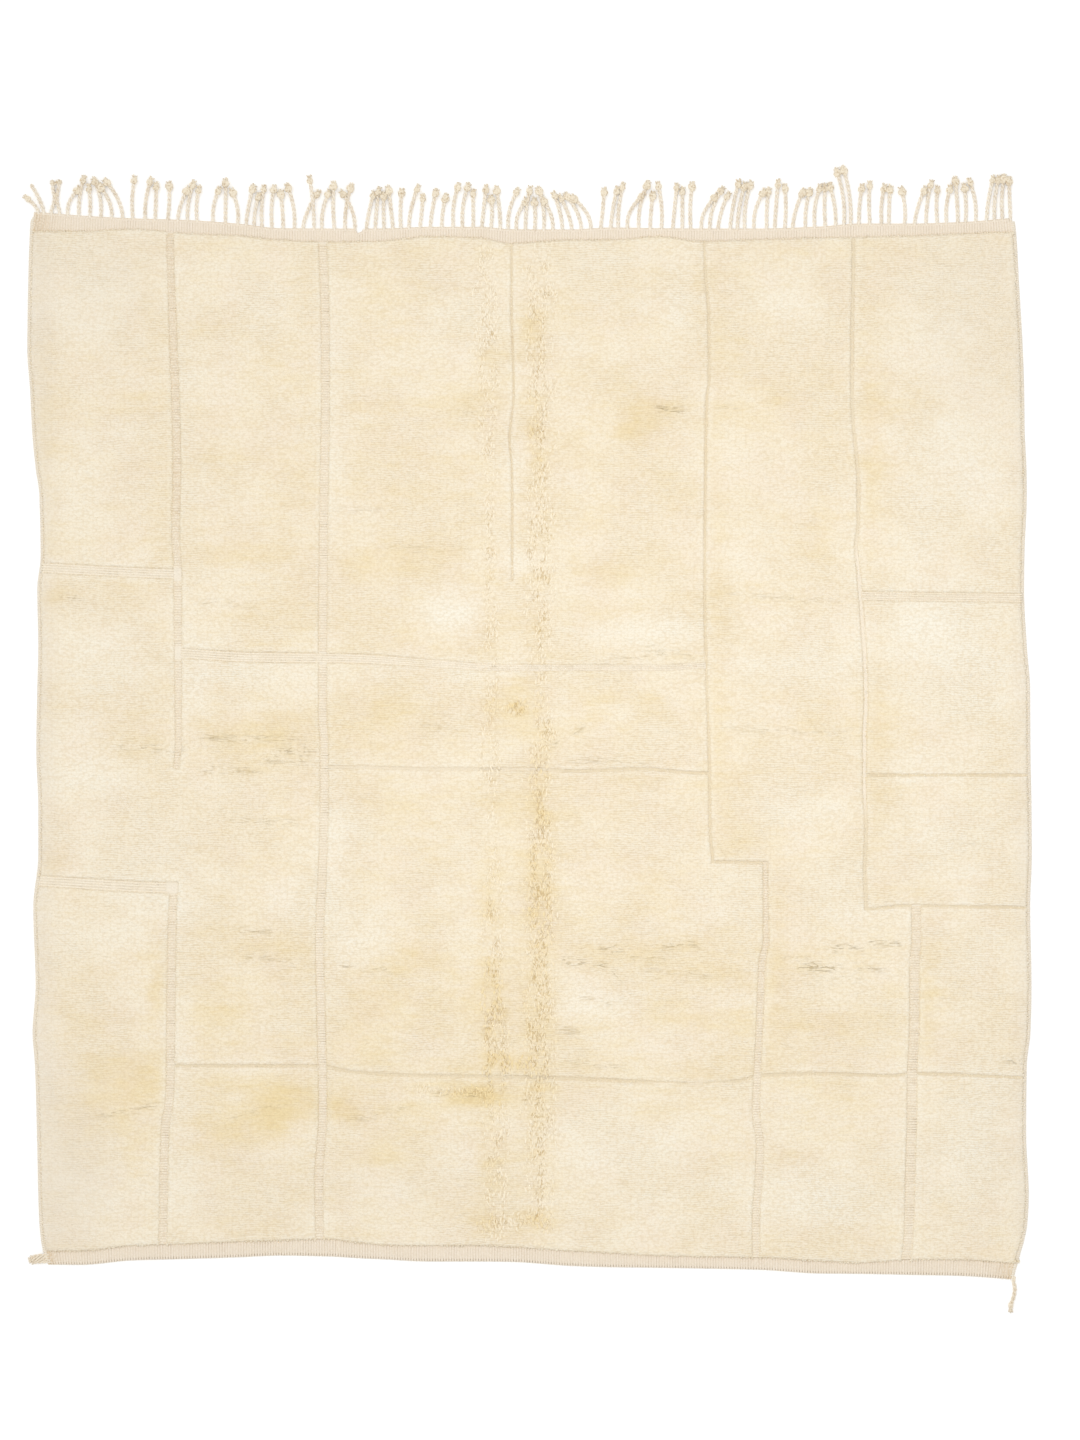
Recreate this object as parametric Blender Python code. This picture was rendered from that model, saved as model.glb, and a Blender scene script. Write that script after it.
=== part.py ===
"""Beni ourain rug, laid flat: a near-square wool pile rug off one loom.

The cloth is one solid. Its pile stands in blocks, parted by flat-woven grooves that run along the
rug and across it, with a flat-woven band at each end and a plain edge down each side. Knotted warp
ends make the fringe of the top end, and one loose end hangs off each lower corner.

The rug lies on z = 0 with its fringe towards +Y. All sizes and tables are in millimetres.
"""
from bisect import bisect_right
from collections import namedtuple
from math import hypot, pi, sin

import bmesh
import bpy
from mathutils import Vector

MM = 0.001

# Heights above the floor.
PILE_HEIGHT = 16.5
GROUND_HEIGHT = 6.0
EDGE_HEIGHT = 5.0

# The plain side edges, the slope of the pile beside what is flat-woven, and the parting gap.
SIDE_EDGE = 10.0
PILE_SLOPE = 7.0
GAP = 0.3

# The fringe: its root strip, its twisted strands and the sections of the knot on each.
STRIP_DEPTH = 9.0
STRIP_HEIGHT = 6.0
STRAND_WIDTH = 10.0
STRAND_HEIGHT = 8.5
STRAND_LEAN = 1.35
STRAND_SWAY = 2.5
RIDGE_SHARE = 0.6

# The rings of a strand below its knot: how far along the way to the knot each is, and whether it
# is lifted clear of a neighbour that the strand passes over.
Ring = namedtuple("Ring", "share lifted")
PLAIN_RINGS = [Ring(0.27, 0.0), Ring(0.54, 0.0), Ring(0.8, 0.0)]
OVER_RINGS = [Ring(0.2, 1.0), Ring(0.6, 1.0), Ring(0.9, 1.0)]

Side = namedtuple("Side", "y left right")
SIDES = [Side(*row) for row in (
    (-1610, -1441, 1458),
    (-1566, -1441, 1470),
    (-1530, -1453, 1480),
    (-1500, -1459, 1489),
    (-1440, -1465, 1500),
    (-1360, -1468, 1504),
    (-1175, -1472, 1496),
    (-970, -1478, 1498),
    (-870, -1485, 1509),
    (-730, -1476, 1512),
    (-495, -1483, 1508),
    (-340, -1468, 1513),
    (-195, -1468, 1512),
    (-20, -1474, 1509),
    (160, -1471, 1508),
    (290, -1468, 1498),
    (460, -1471, 1490),
    (560, -1461, 1491),
    (745, -1465, 1498),
    (825, -1476, 1497),
    (930, -1486, 1492),
    (1065, -1493, 1490),
    (1180, -1501, 1486),
    (1390, -1498, 1474),
    (1490, -1495, 1469),
    (1565, -1491, 1462),
    (1580, -1482, 1457),
)]

# Across the rug: the line of the fringe roots, where the pile starts and stops, and the lower edge.
End = namedtuple("End", "x fringe pile_top pile_foot hem")
ENDS = [End(*row) for row in (
    (-1462, 1592, 1534, -1526, -1566),
    (-1342, 1582, 1534, -1526, -1567),
    (-1192, 1574, 1540, -1510, -1554),
    (-1012, 1568, 1527, -1504, -1549),
    (-862, 1557, 1520, -1498, -1544),
    (-742, 1544, 1508, -1494, -1539),
    (-592, 1543, 1502, -1490, -1542),
    (-523, 1543, 1503, -1500, -1546),
    (-506, 1527, 1503, -1501, -1547),
    (-489, 1543, 1503, -1502, -1548),
    (-442, 1543, 1504, -1508, -1550),
    (-292, 1548, 1518, -1510, -1557),
    (-142, 1548, 1514, -1510, -1557),
    (-52, 1541, 1498, -1514, -1558),
    (128, 1540, 1508, -1526, -1570),
    (248, 1546, 1508, -1532, -1574),
    (398, 1544, 1518, -1540, -1576),
    (518, 1543, 1504, -1543, -1578),
    (698, 1543, 1509, -1546, -1582),
    (878, 1549, 1514, -1556, -1593),
    (998, 1558, 1516, -1562, -1594),
    (1148, 1558, 1520, -1552, -1597),
    (1298, 1562, 1526, -1552, -1600),
    (1448, 1574, 1532, -1562, -1610),
)]

# Courses that the grooves follow: at each place along a course, where it lies and how wide
# the groove's floor is.
Station = namedtuple("Station", "along across width")
LENGTHWISE = {
    "far_left": (
        (-1492, -1094, 22), (-1174, -1088, 22), (-1040, -1072, 22), (-800, -1070, 22),
        (-526, -1066, 21), (-424, -1060, 20), (-74, -1054, 18), (-8, -1046, 20),
        (518, -1048, 20), (626, -1054, 18), (826, -1050, 18), (1238, -1062, 16), (1478, -1072, 16),
    ),
    "left": (
        (-1492, -624, 24), (-1310, -626, 24), (-1108, -614, 24), (-796, -620, 24),
        (-596, -624, 24), (-394, -616, 24), (-194, -610, 24), (0, -610, 24),
        (90, -615, 24), (626, -612, 24), (1075, -606, 24), (1308, -608, 24), (1500, -615, 24),
    ),
    "middle": (
        (488, -46, 6), (690, -46, 6), (826, -47, 6), (908, -54, 6), (1042, -41, 6), (1282, -48, 6),
    ),
    "inner_right": (
        (-352, 556, 9), (-260, 548, 9), (8, 544, 8), (158, 538, 8), (452, 532, 8),
        (1024, 537, 8), (1090, 545, 8), (1282, 543, 8), (1388, 535, 8), (1490, 530, 8),
    ),
    "lower_right": (
        (-1538, 686, 22), (-1408, 686, 22), (-1342, 692, 22), (-1208, 698, 22), (-1108, 686, 22),
        (-994, 690, 20), (-764, 700, 20), (-662, 704, 20), (-596, 716, 18), (-360, 714, 16),
    ),
    "right": (
        (-494, 1016, 12), (-394, 1012, 12), (-260, 1016, 12), (-128, 1011, 14), (8, 1011, 15),
        (124, 1016, 15), (488, 996, 15), (592, 986, 10), (658, 993, 9), (760, 993, 9),
        (1028, 974, 9), (1226, 974, 9), (1390, 978, 9),
    ),
    "far_right": (
        (-1546, 1137, 28), (-1474, 1144, 28), (-1240, 1150, 28), (-1108, 1154, 29),
        (-996, 1154, 29), (-870, 1161, 29), (-662, 1162, 29), (-596, 1167, 28), (-490, 1167, 27),
    ),
}
CROSSWISE = {
    "first": (
        (-1454, 524, 30), (-1066, 506, 30), (-46, 488, 8), (1010, 440, 27), (1480, 434, 27),
    ),
    "second": (
        (-1042, 268, 30), (-832, 256, 30), (-532, 252, 28), (-266, 236, 20), (-64, 224, 14),
        (404, 224, 12), (520, 231, 12),
    ),
    "third": (
        (-1054, -74, 10), (-532, -74, 10), (-266, -80, 10), (38, -80, 10), (136, -86, 10),
        (338, -80, 10), (524, -92, 10), (1016, -98, 9),
    ),
    "fourth": (
        (-1460, -416, 33), (-1060, -436, 33), (556, -358, 9), (716, -361, 9), (1016, -500, 9),
        (1132, -490, 9), (1502, -496, 9),
    ),
    "fifth": (
        (-1060, -970, 10), (-626, -970, 10), (-532, -988, 10), (-364, -998, 10), (70, -1006, 10),
        (338, -1017, 10), (503, -1024, 10), (622, -1017, 10), (716, -998, 10), (890, -994, 10),
        (1090, -1000, 10), (1156, -994, 10), (1492, -1006, 10),
    ),
}

# Which stretch of a course is a groove. The first name is a lengthwise or crosswise course, and the
# other two are the crossing courses or edges that it runs between.
Groove = namedtuple("Groove", "course start stop")
GROOVES = [Groove(*row) for row in (
    ("far_left", "third", "top"),
    ("far_left", "bottom", "fourth"),
    ("left", "bottom", "top"),
    ("middle", "first", "top"),
    ("inner_right", "fourth", "top"),
    ("lower_right", "bottom", "fourth"),
    ("right", "fourth", "top"),
    ("far_right", "bottom", "fourth"),
    ("first", "left_side", "far_left"),
    ("first", "right", "right_side"),
    ("second", "far_left", "inner_right"),
    ("third", "left", "inner_right"),
    ("third", "right", "right_side"),
    ("fourth", "left_side", "far_left"),
    ("fourth", "inner_right", "lower_right"),
    ("fourth", "right", "right_side"),
    ("fifth", "far_left", "right_side"),
)]

# The lines of the pile's net, from left to right and from the lower end up: each follows a course or
# lies straight, at the notch of the top edge and down the ruffled strips, and has so many plain
# lines evenly spread before it.
Stop = namedtuple("Stop", "follows plain_before")
COLUMN_ORDER = [Stop(*row) for row in (
    ("far_left", 2),
    ("left", 3),
    (-523, 0),
    (-506, 0),
    (-489, 0),
    (-152, 2),
    (-110, 0),
    (-76, 0),
    ("middle", 0),
    (5, 0),
    (38, 0),
    (72, 0),
    ("inner_right", 3),
    ("lower_right", 1),
    ("right", 2),
    ("far_right", 0),
)]
ROW_ORDER = [Stop(*row) for row in (
    ("fifth", 5),
    ("fourth", 4),
    ("third", 2),
    ("second", 2),
    ("first", 1),
)]
LAST_COLUMNS = 2
LAST_ROWS = 7

# Soft unevenness of the pile: the height of each wave, its lengths across and along the rug,
# and where it starts.
Wave = namedtuple("Wave", "height across along start")
WAVES = [Wave(*row) for row in (
    (0.7, 910, 1270, 0.4),
    (0.5, 530, 410, 1.9),
    (0.4, 290, 350, 3.1),
)]

# Two strips down the middle where the pile is ruffled.
Ruffle = namedtuple("Ruffle", "x half_width height pitch")
RUFFLES = [Ruffle(*row) for row in (
    (-110, 55, 1.2, 210),
    (38, 45, 2.0, 230),
)]

# The ruffles are highest at the pile's foot and would fade out this far above it.
RUFFLE_FOOT = -1500.0
RUFFLE_FADE = 4500.0

# Bunches of the fringe from left to right: the roots of the first and last strand, how many there
# are, the places of the first and last knot, the line the knots lie on, and how far every other
# knot stands before or behind that line.
Bunch = namedtuple("Bunch", "root_from root_to strands knot_from knot_to knot_line stagger")
BUNCHES = [Bunch(*row) for row in (
    (-1468, -1452, 2, -1500, -1490, 1652, -21),
    (-1430, -1404, 2, -1427, -1405, 1675, 3),
    (-1380, -1215, 6, -1364, -1250, 1672, -12),
    (-1185, -1185, 1, -1181, -1181, 1682, 0),
    (-1148, -1118, 2, -1136, -1112, 1675, 8),
    (-1080, -1080, 1, -1075, -1075, 1665, 0),
    (-1050, -992, 3, -1028, -983, 1663, -4),
    (-944, -870, 3, -935, -878, 1664, -12),
    (-845, -797, 3, -830, -788, 1647, 8),
    (-767, -700, 3, -768, -712, 1652, 7),
    (-674, -641, 2, -630, -656, 1665, -17),
    (-617, -580, 2, -602, -580, 1657, -11),
    (-548, -518, 2, -529, -555, 1654, 6),
    (-484, -404, 4, -470, -410, 1645, -10),
    (-380, -380, 1, -378, -378, 1650, 0),
    (-356, -323, 2, -334, -312, 1645, 10),
    (-292, -257, 2, -280, -243, 1638, 5),
    (-223, -223, 1, -210, -210, 1665, 0),
    (-195, -163, 2, -183, -161, 1655, 6),
    (-137, -82, 3, -129, -88, 1642, 12),
    (-58, -58, 1, -34, -34, 1648, 0),
    (-33, 76, 5, -16, 58, 1637, -13),
    (105, 190, 4, 75, 148, 1634, 7),
    (220, 220, 1, 230, 230, 1652, 0),
    (250, 272, 2, 265, 287, 1658, -5),
    (300, 402, 4, 334, 400, 1654, -12),
    (436, 465, 2, 445, 467, 1658, 4),
    (490, 490, 1, 494, 494, 1663, 0),
    (522, 572, 3, 556, 604, 1645, -6),
    (608, 652, 3, 628, 672, 1669, 6),
    (680, 718, 2, 704, 725, 1648, -5),
    (742, 772, 2, 749, 776, 1666, 7),
    (796, 834, 2, 822, 848, 1648, 3),
    (862, 925, 3, 872, 914, 1662, 3),
    (950, 970, 2, 928, 953, 1711, 0),
    (995, 1028, 2, 1000, 1030, 1665, 0),
    (1063, 1085, 2, 1067, 1090, 1660, 3),
    (1132, 1132, 1, 1125, 1125, 1650, 0),
    (1162, 1230, 3, 1185, 1235, 1663, -5),
    (1258, 1292, 2, 1265, 1287, 1669, -13),
    (1315, 1345, 2, 1310, 1332, 1670, -5),
    (1378, 1450, 4, 1390, 1452, 1687, 4),
)]

# A strand from just under its knot to the end of its tuft, measured from the knot's middle.
Section = namedtuple("Section", "distance width height")
KNOT = [Section(*row) for row in (
    (-12, 9, 8),
    (-6, 17, 13),
    (4, 17, 13),
    (9, 9, 7),
    (14, 12, 6),
)]

# The loose ends at the lower corners: where each section lies, its width and its height.
Tail = namedtuple("Tail", "x y width height")
TAIL_LEFT = [Tail(*row) for row in (
    (-1464, -1546, 22, 8),
    (-1478, -1549, 22, 9),
    (-1488, -1552, 14, 7),
)]
TAIL_RIGHT = [Tail(*row) for row in (
    (1458, -1622, 10, 8),
    (1464, -1636, 10, 8),
    (1462, -1660, 10, 8),
    (1454, -1680, 9, 8),
    (1451, -1688, 17, 12),
    (1450, -1700, 16, 12),
    (1450, -1713, 18, 7),
)]

# Where a tail meets the cloth: on the left, shares of the way from the hem up to the pile's foot,
# and on the right, shares of the way across the side edge's end. Both are as thick there.
TAIL_LEFT_ROOT = (0.25, 0.85)
TAIL_RIGHT_ROOT = (0.9, 0.1)
TAIL_ROOT_HEIGHT = 4.5

# The net's borders, and how often a crossing's place is worked out again.
BORDERS = ("left_side", "right_side", "bottom", "top")
CROSSING_STEPS = 6

# A line of the net: its place as a function, the course or border it belongs to and its height.
Line = namedtuple("Line", "place course level")


def curve(places, values):
    """A smooth curve through a table's points that never overshoots them."""
    slopes = [(b - a) / (q - p) for a, b, p, q in zip(values, values[1:], places, places[1:])]
    tangents = [slopes[0]]
    for before, after in zip(slopes, slopes[1:]):
        tangents.append(2 * before * after / (before + after) if before * after > 0 else 0.0)
    tangents.append(slopes[-1])

    def value_at(place):
        place = min(max(place, places[0]), places[-1])
        i = min(bisect_right(places, place), len(places) - 1) - 1
        span = places[i + 1] - places[i]
        t = (place - places[i]) / span
        rise = (3 - 2 * t) * t * t
        return (
            values[i] + (values[i + 1] - values[i]) * rise
            + span * tangents[i] * t * (1 - t) ** 2
            - span * tangents[i + 1] * t * t * (1 - t)
        )
    return value_at


left_edge = curve([row.y for row in SIDES], [row.left for row in SIDES])
right_edge = curve([row.y for row in SIDES], [row.right for row in SIDES])
fringe_line = curve([row.x for row in ENDS], [row.fringe for row in ENDS])
pile_top = curve([row.x for row in ENDS], [row.pile_top for row in ENDS])
pile_foot = curve([row.x for row in ENDS], [row.pile_foot for row in ENDS])
hem = curve([row.x for row in ENDS], [row.hem for row in ENDS])


def groove_lines(course, rows):
    """The four lines that follow a groove: shoulder, floor, floor and shoulder."""
    stations = [Station(*row) for row in rows]
    middle = curve([s.along for s in stations], [s.across for s in stations])
    width = curve([s.along for s in stations], [s.width for s in stations])

    def line(side, slope, level):
        return Line(lambda at: middle(at) + side * (width(at) / 2 + slope), course, level)
    return [
        line(-1, PILE_SLOPE, "pile"),
        line(-1, 0.0, "ground"),
        line(1, 0.0, "ground"),
        line(1, PILE_SLOPE, "pile"),
    ]


def spread_before(following, last, count):
    """Plain lines evenly spread between two others."""
    def line(share):
        return Line(
            lambda at: last.place(at) * (1 - share) + following.place(at) * share, None, "pile"
        )
    return [line(k / (count + 1)) for k in range(1, count + 1)]


def net_lines(first, order, courses, last, plain_before_last):
    """All lines of the net one way, from its first border to its last."""
    lines = list(first)
    for stop in order:
        if stop.follows in courses:
            added = groove_lines(stop.follows, courses[stop.follows])
        else:
            added = [Line(lambda at, x=stop.follows: x, None, "pile")]
        lines += spread_before(added[0], lines[-1], stop.plain_before) + added
    return lines + spread_before(last[0], lines[-1], plain_before_last) + list(last)


def net_columns():
    """Lines that run along the rug, each giving its x at a y."""
    def side(border, inward, name):
        steps = ((0.0, "edge"), (SIDE_EDGE, "border"), (SIDE_EDGE + PILE_SLOPE, "pile"))
        return [
            Line(lambda y, step=step: border(y) + inward * step, name, level)
            for step, level in steps
        ]
    left = side(left_edge, 1, "left_side")
    right = side(right_edge, -1, "right_side")
    return net_lines(left, COLUMN_ORDER, LENGTHWISE, right[::-1], LAST_COLUMNS)


def net_rows():
    """Lines that run across the rug, each giving its y at an x."""
    bottom = [
        Line(hem, "bottom", "edge"),
        Line(pile_foot, "bottom", "border"),
        Line(lambda x: pile_foot(x) + PILE_SLOPE, "bottom", "pile"),
    ]
    top = [
        Line(lambda x: pile_top(x) - PILE_SLOPE, "top", "pile"),
        Line(pile_top, "top", "border"),
        Line(lambda x: fringe_line(x) - STRIP_DEPTH - GAP, "top", "edge"),
    ]
    return net_lines(bottom, ROW_ORDER, CROSSWISE, top, LAST_ROWS)


def low_span(lines, start, stop):
    """The numbers of the lines from the start's first low line to the stop's last."""
    def low(name):
        return [k for k, line in enumerate(lines) if line.course == name and line.level != "pile"]
    return range(low(start)[0], low(stop)[-1] + 1)


def sunk_places(net_across, net_up):
    """The crossings of the net that lie on the floor of a groove."""
    sunk = set()
    for groove in GROOVES:
        if groove.course in LENGTHWISE:
            floor = low_span(net_across, groove.course, groove.course)
            stretch = low_span(net_up, groove.start, groove.stop)
            sunk.update((i, j) for i in floor for j in stretch)
        else:
            floor = low_span(net_up, groove.course, groove.course)
            stretch = low_span(net_across, groove.start, groove.stop)
            sunk.update((i, j) for i in stretch for j in floor)
    return sunk


def crossing(column, row):
    """Where a line along the rug meets a line across it."""
    x = column.place(0.0)
    for _ in range(CROSSING_STEPS):
        y = row.place(x)
        x = column.place(y)
    return x, row.place(x)


def pile_level(x, y):
    """The height of the pile, with its soft waves and its two ruffled strips."""
    height = PILE_HEIGHT
    for wave in WAVES:
        height += wave.height * sin(2 * pi * x / wave.across + wave.start) * sin(
            2 * pi * y / wave.along + wave.start
        )
    for ruffle in RUFFLES:
        inside = max(0.0, 1 - ((x - ruffle.x) / ruffle.half_width) ** 2)
        growth = 1 - (y - RUFFLE_FOOT) / RUFFLE_FADE
        height += ruffle.height * inside * growth * sin(2 * pi * y / ruffle.pitch)
    return height


def finish(name, bm, material):
    """Turn the points from millimetres into a mesh in metres, as one named object."""
    bmesh.ops.recalc_face_normals(bm, faces=bm.faces)
    bmesh.ops.scale(bm, vec=Vector((MM, MM, MM)), verts=bm.verts)
    mesh = bpy.data.meshes.new(name)
    bm.to_mesh(mesh)
    bm.free()
    mesh.materials.append(material)
    piece = bpy.data.objects.new(name, mesh)
    bpy.context.scene.collection.objects.link(piece)
    return piece


def yarn(name, colour, roughness):
    """A matt material for undyed wool or cotton."""
    material = bpy.data.materials.new(name)
    material.use_nodes = True
    shader = material.node_tree.nodes["Principled BSDF"]
    shader.inputs["Base Color"].default_value = (*colour, 1.0)
    shader.inputs["Roughness"].default_value = roughness
    shader.inputs["Metallic"].default_value = 0.0
    return material


def make_cloth(across, up, material):
    """The rug's own cloth: a net of points on its face, a rim all round and a flat underside."""
    sunk = sunk_places(across, up)
    bm = bmesh.new()
    face_points = []
    for i, column in enumerate(across):
        strip = []
        for j, row in enumerate(up):
            x, y = crossing(column, row)
            levels = {line.level for line in (column, row) if line.course in BORDERS}
            if "edge" in levels:
                height = EDGE_HEIGHT
            elif "border" in levels or (i, j) in sunk:
                height = GROUND_HEIGHT
            else:
                height = pile_level(x, y)
            strip.append(bm.verts.new((x, y, height)))
        face_points.append(strip)
    for left, right in zip(face_points, face_points[1:]):
        for corners in zip(left, right, right[1:], left[1:]):
            bm.faces.new(corners)
    rim = (
        [strip[0] for strip in face_points]
        + face_points[-1][1:]
        + [strip[-1] for strip in face_points[-2::-1]]
        + face_points[0][-2:0:-1]
    )
    foot = [bm.verts.new((point.co.x, point.co.y, 0.0)) for point in rim]
    for k in range(len(rim)):
        bm.faces.new((rim[k - 1], foot[k - 1], foot[k], rim[k]))
    bm.faces.new(foot)
    return finish("rug_body", bm, material)


def ring(bm, centre, direction, width, height, lift=0.0):
    """Four points round a strand: two on what it lies on and two closer together on its ridge."""
    length = hypot(*direction)
    side = (direction[1] / length, -direction[0] / length)
    points = []
    for share, level in ((-1, 0.0), (1, 0.0), (RIDGE_SHARE, height), (-RIDGE_SHARE, height)):
        reach = share * width / 2
        points.append(
            bm.verts.new((centre[0] + side[0] * reach, centre[1] + side[1] * reach, lift + level))
        )
    return points


def bridge(bm, rings):
    """Skin a row of rings and close its far end."""
    for near, far in zip(rings, rings[1:]):
        for k in range(4):
            bm.faces.new((near[k - 1], near[k], far[k], far[k - 1]))
    bm.faces.new(rings[-1])


def strands():
    """Each strand's root, the middle of its knot and whether it passes over its neighbour."""
    for bunch in BUNCHES:
        for k in range(bunch.strands):
            share = k / max(1, bunch.strands - 1)
            root = bunch.root_from + (bunch.root_to - bunch.root_from) * share
            knot = bunch.knot_from + (bunch.knot_to - bunch.knot_from) * share
            line = bunch.knot_line + bunch.stagger * (1 if k % 2 == 0 else -1)
            yield root, (knot, line), k > 0 and bunch.knot_to < bunch.knot_from


def strand_rings(bm, number, root, knot, over):
    """The rings of one strand from just past its root to the end of its tuft."""
    start = fringe_line(root)
    lean = knot[0] - root
    reach = knot[1] - start
    plain = 1 + KNOT[0].distance / hypot(lean, reach)
    rings = []
    for step in OVER_RINGS if over else PLAIN_RINGS:
        share = plain * step.share
        sway = STRAND_SWAY * sin(pi * share) * sin(number)
        centre = (root + lean * share ** STRAND_LEAN + sway, start + reach * share)
        direction = (lean * STRAND_LEAN * share ** (STRAND_LEAN - 1), reach)
        lift = step.lifted * (STRAND_HEIGHT + GAP)
        rings.append(ring(bm, centre, direction, STRAND_WIDTH, STRAND_HEIGHT, lift))
    direction = Vector((lean * STRAND_LEAN, reach)).normalized()
    for section in KNOT:
        centre = Vector(knot) + direction * section.distance
        rings.append(ring(bm, centre, direction, section.width, section.height))
    return rings


def make_fringe(across, up, material):
    """The root strip along the cloth's top edge, with every strand drawn out of its front."""
    bm = bmesh.new()
    behind = [crossing(column, up[-1]) for column in across]
    ends = (behind[0][0], behind[-1][0])
    fronts = [(ends[0], None)]
    for strand in strands():
        fronts += [(strand[0] - STRAND_WIDTH / 2, strand), (strand[0] + STRAND_WIDTH / 2, None)]
    fronts.append((ends[1], None))
    outline = [(x, fringe_line(x)) for x, _ in fronts]
    outline += [(x, y + GAP) for x, y in reversed(behind)]
    low = [bm.verts.new((x, y, 0.0)) for x, y in outline]
    high = [bm.verts.new((x, y, STRIP_HEIGHT)) for x, y in outline]
    bm.faces.new(low)
    bm.faces.new(high)
    number = 0
    for k in range(len(outline)):
        after = (k + 1) % len(outline)
        face = (low[k], low[after], high[after], high[k])
        strand = fronts[k][1] if k < len(fronts) else None
        if strand:
            number += 1
            bridge(bm, [face] + strand_rings(bm, number, *strand))
        else:
            bm.faces.new(face)
    return finish("fringe_top", bm, material)


def make_tail(name, root, sections, material):
    """A loose end at a lower corner, from the face that meets the cloth to its tip."""
    bm = bmesh.new()
    (x_near, y_near), (x_far, y_far) = root
    first = [
        bm.verts.new((x_near, y_near, 0.0)),
        bm.verts.new((x_far, y_far, 0.0)),
        bm.verts.new((x_far, y_far, TAIL_ROOT_HEIGHT)),
        bm.verts.new((x_near, y_near, TAIL_ROOT_HEIGHT)),
    ]
    places = [Vector(((x_near + x_far) / 2, (y_near + y_far) / 2))]
    places += [Vector((section.x, section.y)) for section in sections]
    rings = [first]
    for k, section in enumerate(sections, start=1):
        ahead = places[min(k + 1, len(places) - 1)]
        rings.append(
            ring(bm, places[k], ahead - places[k - 1], section.width, section.height)
        )
    bridge(bm, rings)
    bm.faces.new(first)
    return finish(name, bm, material)


for old in list(bpy.data.objects):
    bpy.data.objects.remove(old, do_unlink=True)

columns = net_columns()
rows = net_rows()
make_cloth(columns, rows, yarn("wool_pile", (0.89, 0.79, 0.61), 0.95))
make_fringe(columns, rows, yarn("twisted_warp", (0.76, 0.67, 0.52), 0.9))
left_corner = Vector(crossing(columns[0], rows[0]))
above_left_corner = Vector(crossing(columns[0], rows[1]))
make_tail(
    "corner_tail_left",
    [left_corner.lerp(above_left_corner, share) - Vector((GAP, 0)) for share in TAIL_LEFT_ROOT],
    TAIL_LEFT,
    yarn("loose_end_left", (0.74, 0.64, 0.48), 0.92),
)
right_corner = Vector(crossing(columns[-1], rows[0]))
beside_right_corner = Vector(crossing(columns[-2], rows[0]))
make_tail(
    "corner_tail_right",
    [beside_right_corner.lerp(right_corner, share) - Vector((0, GAP)) for share in TAIL_RIGHT_ROOT],
    TAIL_RIGHT,
    yarn("loose_end_right", (0.76, 0.67, 0.52), 0.9),
)
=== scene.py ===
"""Looks of the beni ourain rug, laid flat and seen from above.

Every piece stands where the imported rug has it: the floor is z = 0 and the fringe points to +Y.
Tables are in millimetres and every finished mesh is in metres.
"""

import math
from collections import namedtuple

import bmesh
import bpy
import numpy as np
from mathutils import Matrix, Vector, noise


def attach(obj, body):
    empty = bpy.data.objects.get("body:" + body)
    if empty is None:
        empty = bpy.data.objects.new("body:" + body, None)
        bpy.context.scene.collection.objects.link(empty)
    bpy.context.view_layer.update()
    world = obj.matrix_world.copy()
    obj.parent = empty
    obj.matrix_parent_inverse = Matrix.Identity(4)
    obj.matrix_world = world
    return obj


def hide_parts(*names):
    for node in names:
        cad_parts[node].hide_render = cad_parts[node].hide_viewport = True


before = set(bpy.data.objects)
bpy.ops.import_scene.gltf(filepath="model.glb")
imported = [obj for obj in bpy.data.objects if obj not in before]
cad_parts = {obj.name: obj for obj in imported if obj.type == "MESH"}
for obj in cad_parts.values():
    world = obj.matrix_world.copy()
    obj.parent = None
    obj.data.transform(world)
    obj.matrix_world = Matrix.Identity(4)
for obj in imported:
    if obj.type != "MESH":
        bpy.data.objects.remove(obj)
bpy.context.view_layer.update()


# ---------------------------------------------------------------------------------------------
# The cloth. One near-square cloth of undyed wool off one loom: knotted pile in blocks on a
# flat-woven ground, parted by flat-woven grooves, with a flat-woven band at each end. It lies in
# four panels that meet down the floors of grooves, where the real cloth goes on without a seam.

MM = 0.001
PILE_HEIGHT = 16.5
GROUND_HEIGHT = 6.0
GROOVE_HEIGHT = 10.2
EDGE_HEIGHT = 5.0
SIDE_EDGE = 10.0
STRIP_DEPTH = 9.0
GAP = 0.3

# Where pile fills a course: from none to full between two places along it, and the lift there.
Filling = namedtuple("Filling", "course none full lift")
FILLINGS = [Filling("second", -420.0, -120.0, 3.2), Filling("third", 150.0, 60.0, 0.6)]

# Over a narrow groove the pile closes: less of its floor's width shows, and it lies less deep.
NARROW_GROOVE = 13.0
WIDE_GROOVE = 19.0
CLOSED_WIDTH = 0.68
CLOSED_AT = 7.0
OPEN_AT = 11.0
CLOSED_FLOOR = 11.0

# Across the pile's rounded side: how far from the flat weave, and the share of the pile's height.
PILE_SIDE = ((0.0, 0.0), (1.2, 0.62), (3.0, 0.88), (7.0, 1.0))
rise_out, rise_share = zip(*PILE_SIDE)

Side = namedtuple("Side", "y left right")
SIDES = [Side(*row) for row in (
    (-1610, -1441, 1458), (-1566, -1441, 1470), (-1530, -1453, 1480), (-1500, -1459, 1489),
    (-1440, -1465, 1500), (-1360, -1468, 1504), (-1175, -1472, 1496), (-970, -1478, 1498),
    (-870, -1485, 1509), (-730, -1476, 1512), (-495, -1483, 1508), (-340, -1468, 1513),
    (-195, -1468, 1512), (-20, -1474, 1509), (160, -1471, 1508), (290, -1468, 1498),
    (460, -1471, 1490), (560, -1461, 1491), (745, -1465, 1498), (825, -1476, 1497),
    (930, -1486, 1492), (1065, -1493, 1490), (1180, -1501, 1486), (1390, -1498, 1474),
    (1490, -1495, 1469), (1565, -1491, 1462), (1580, -1482, 1457),
)]
End = namedtuple("End", "x fringe pile_top pile_foot hem")
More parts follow.
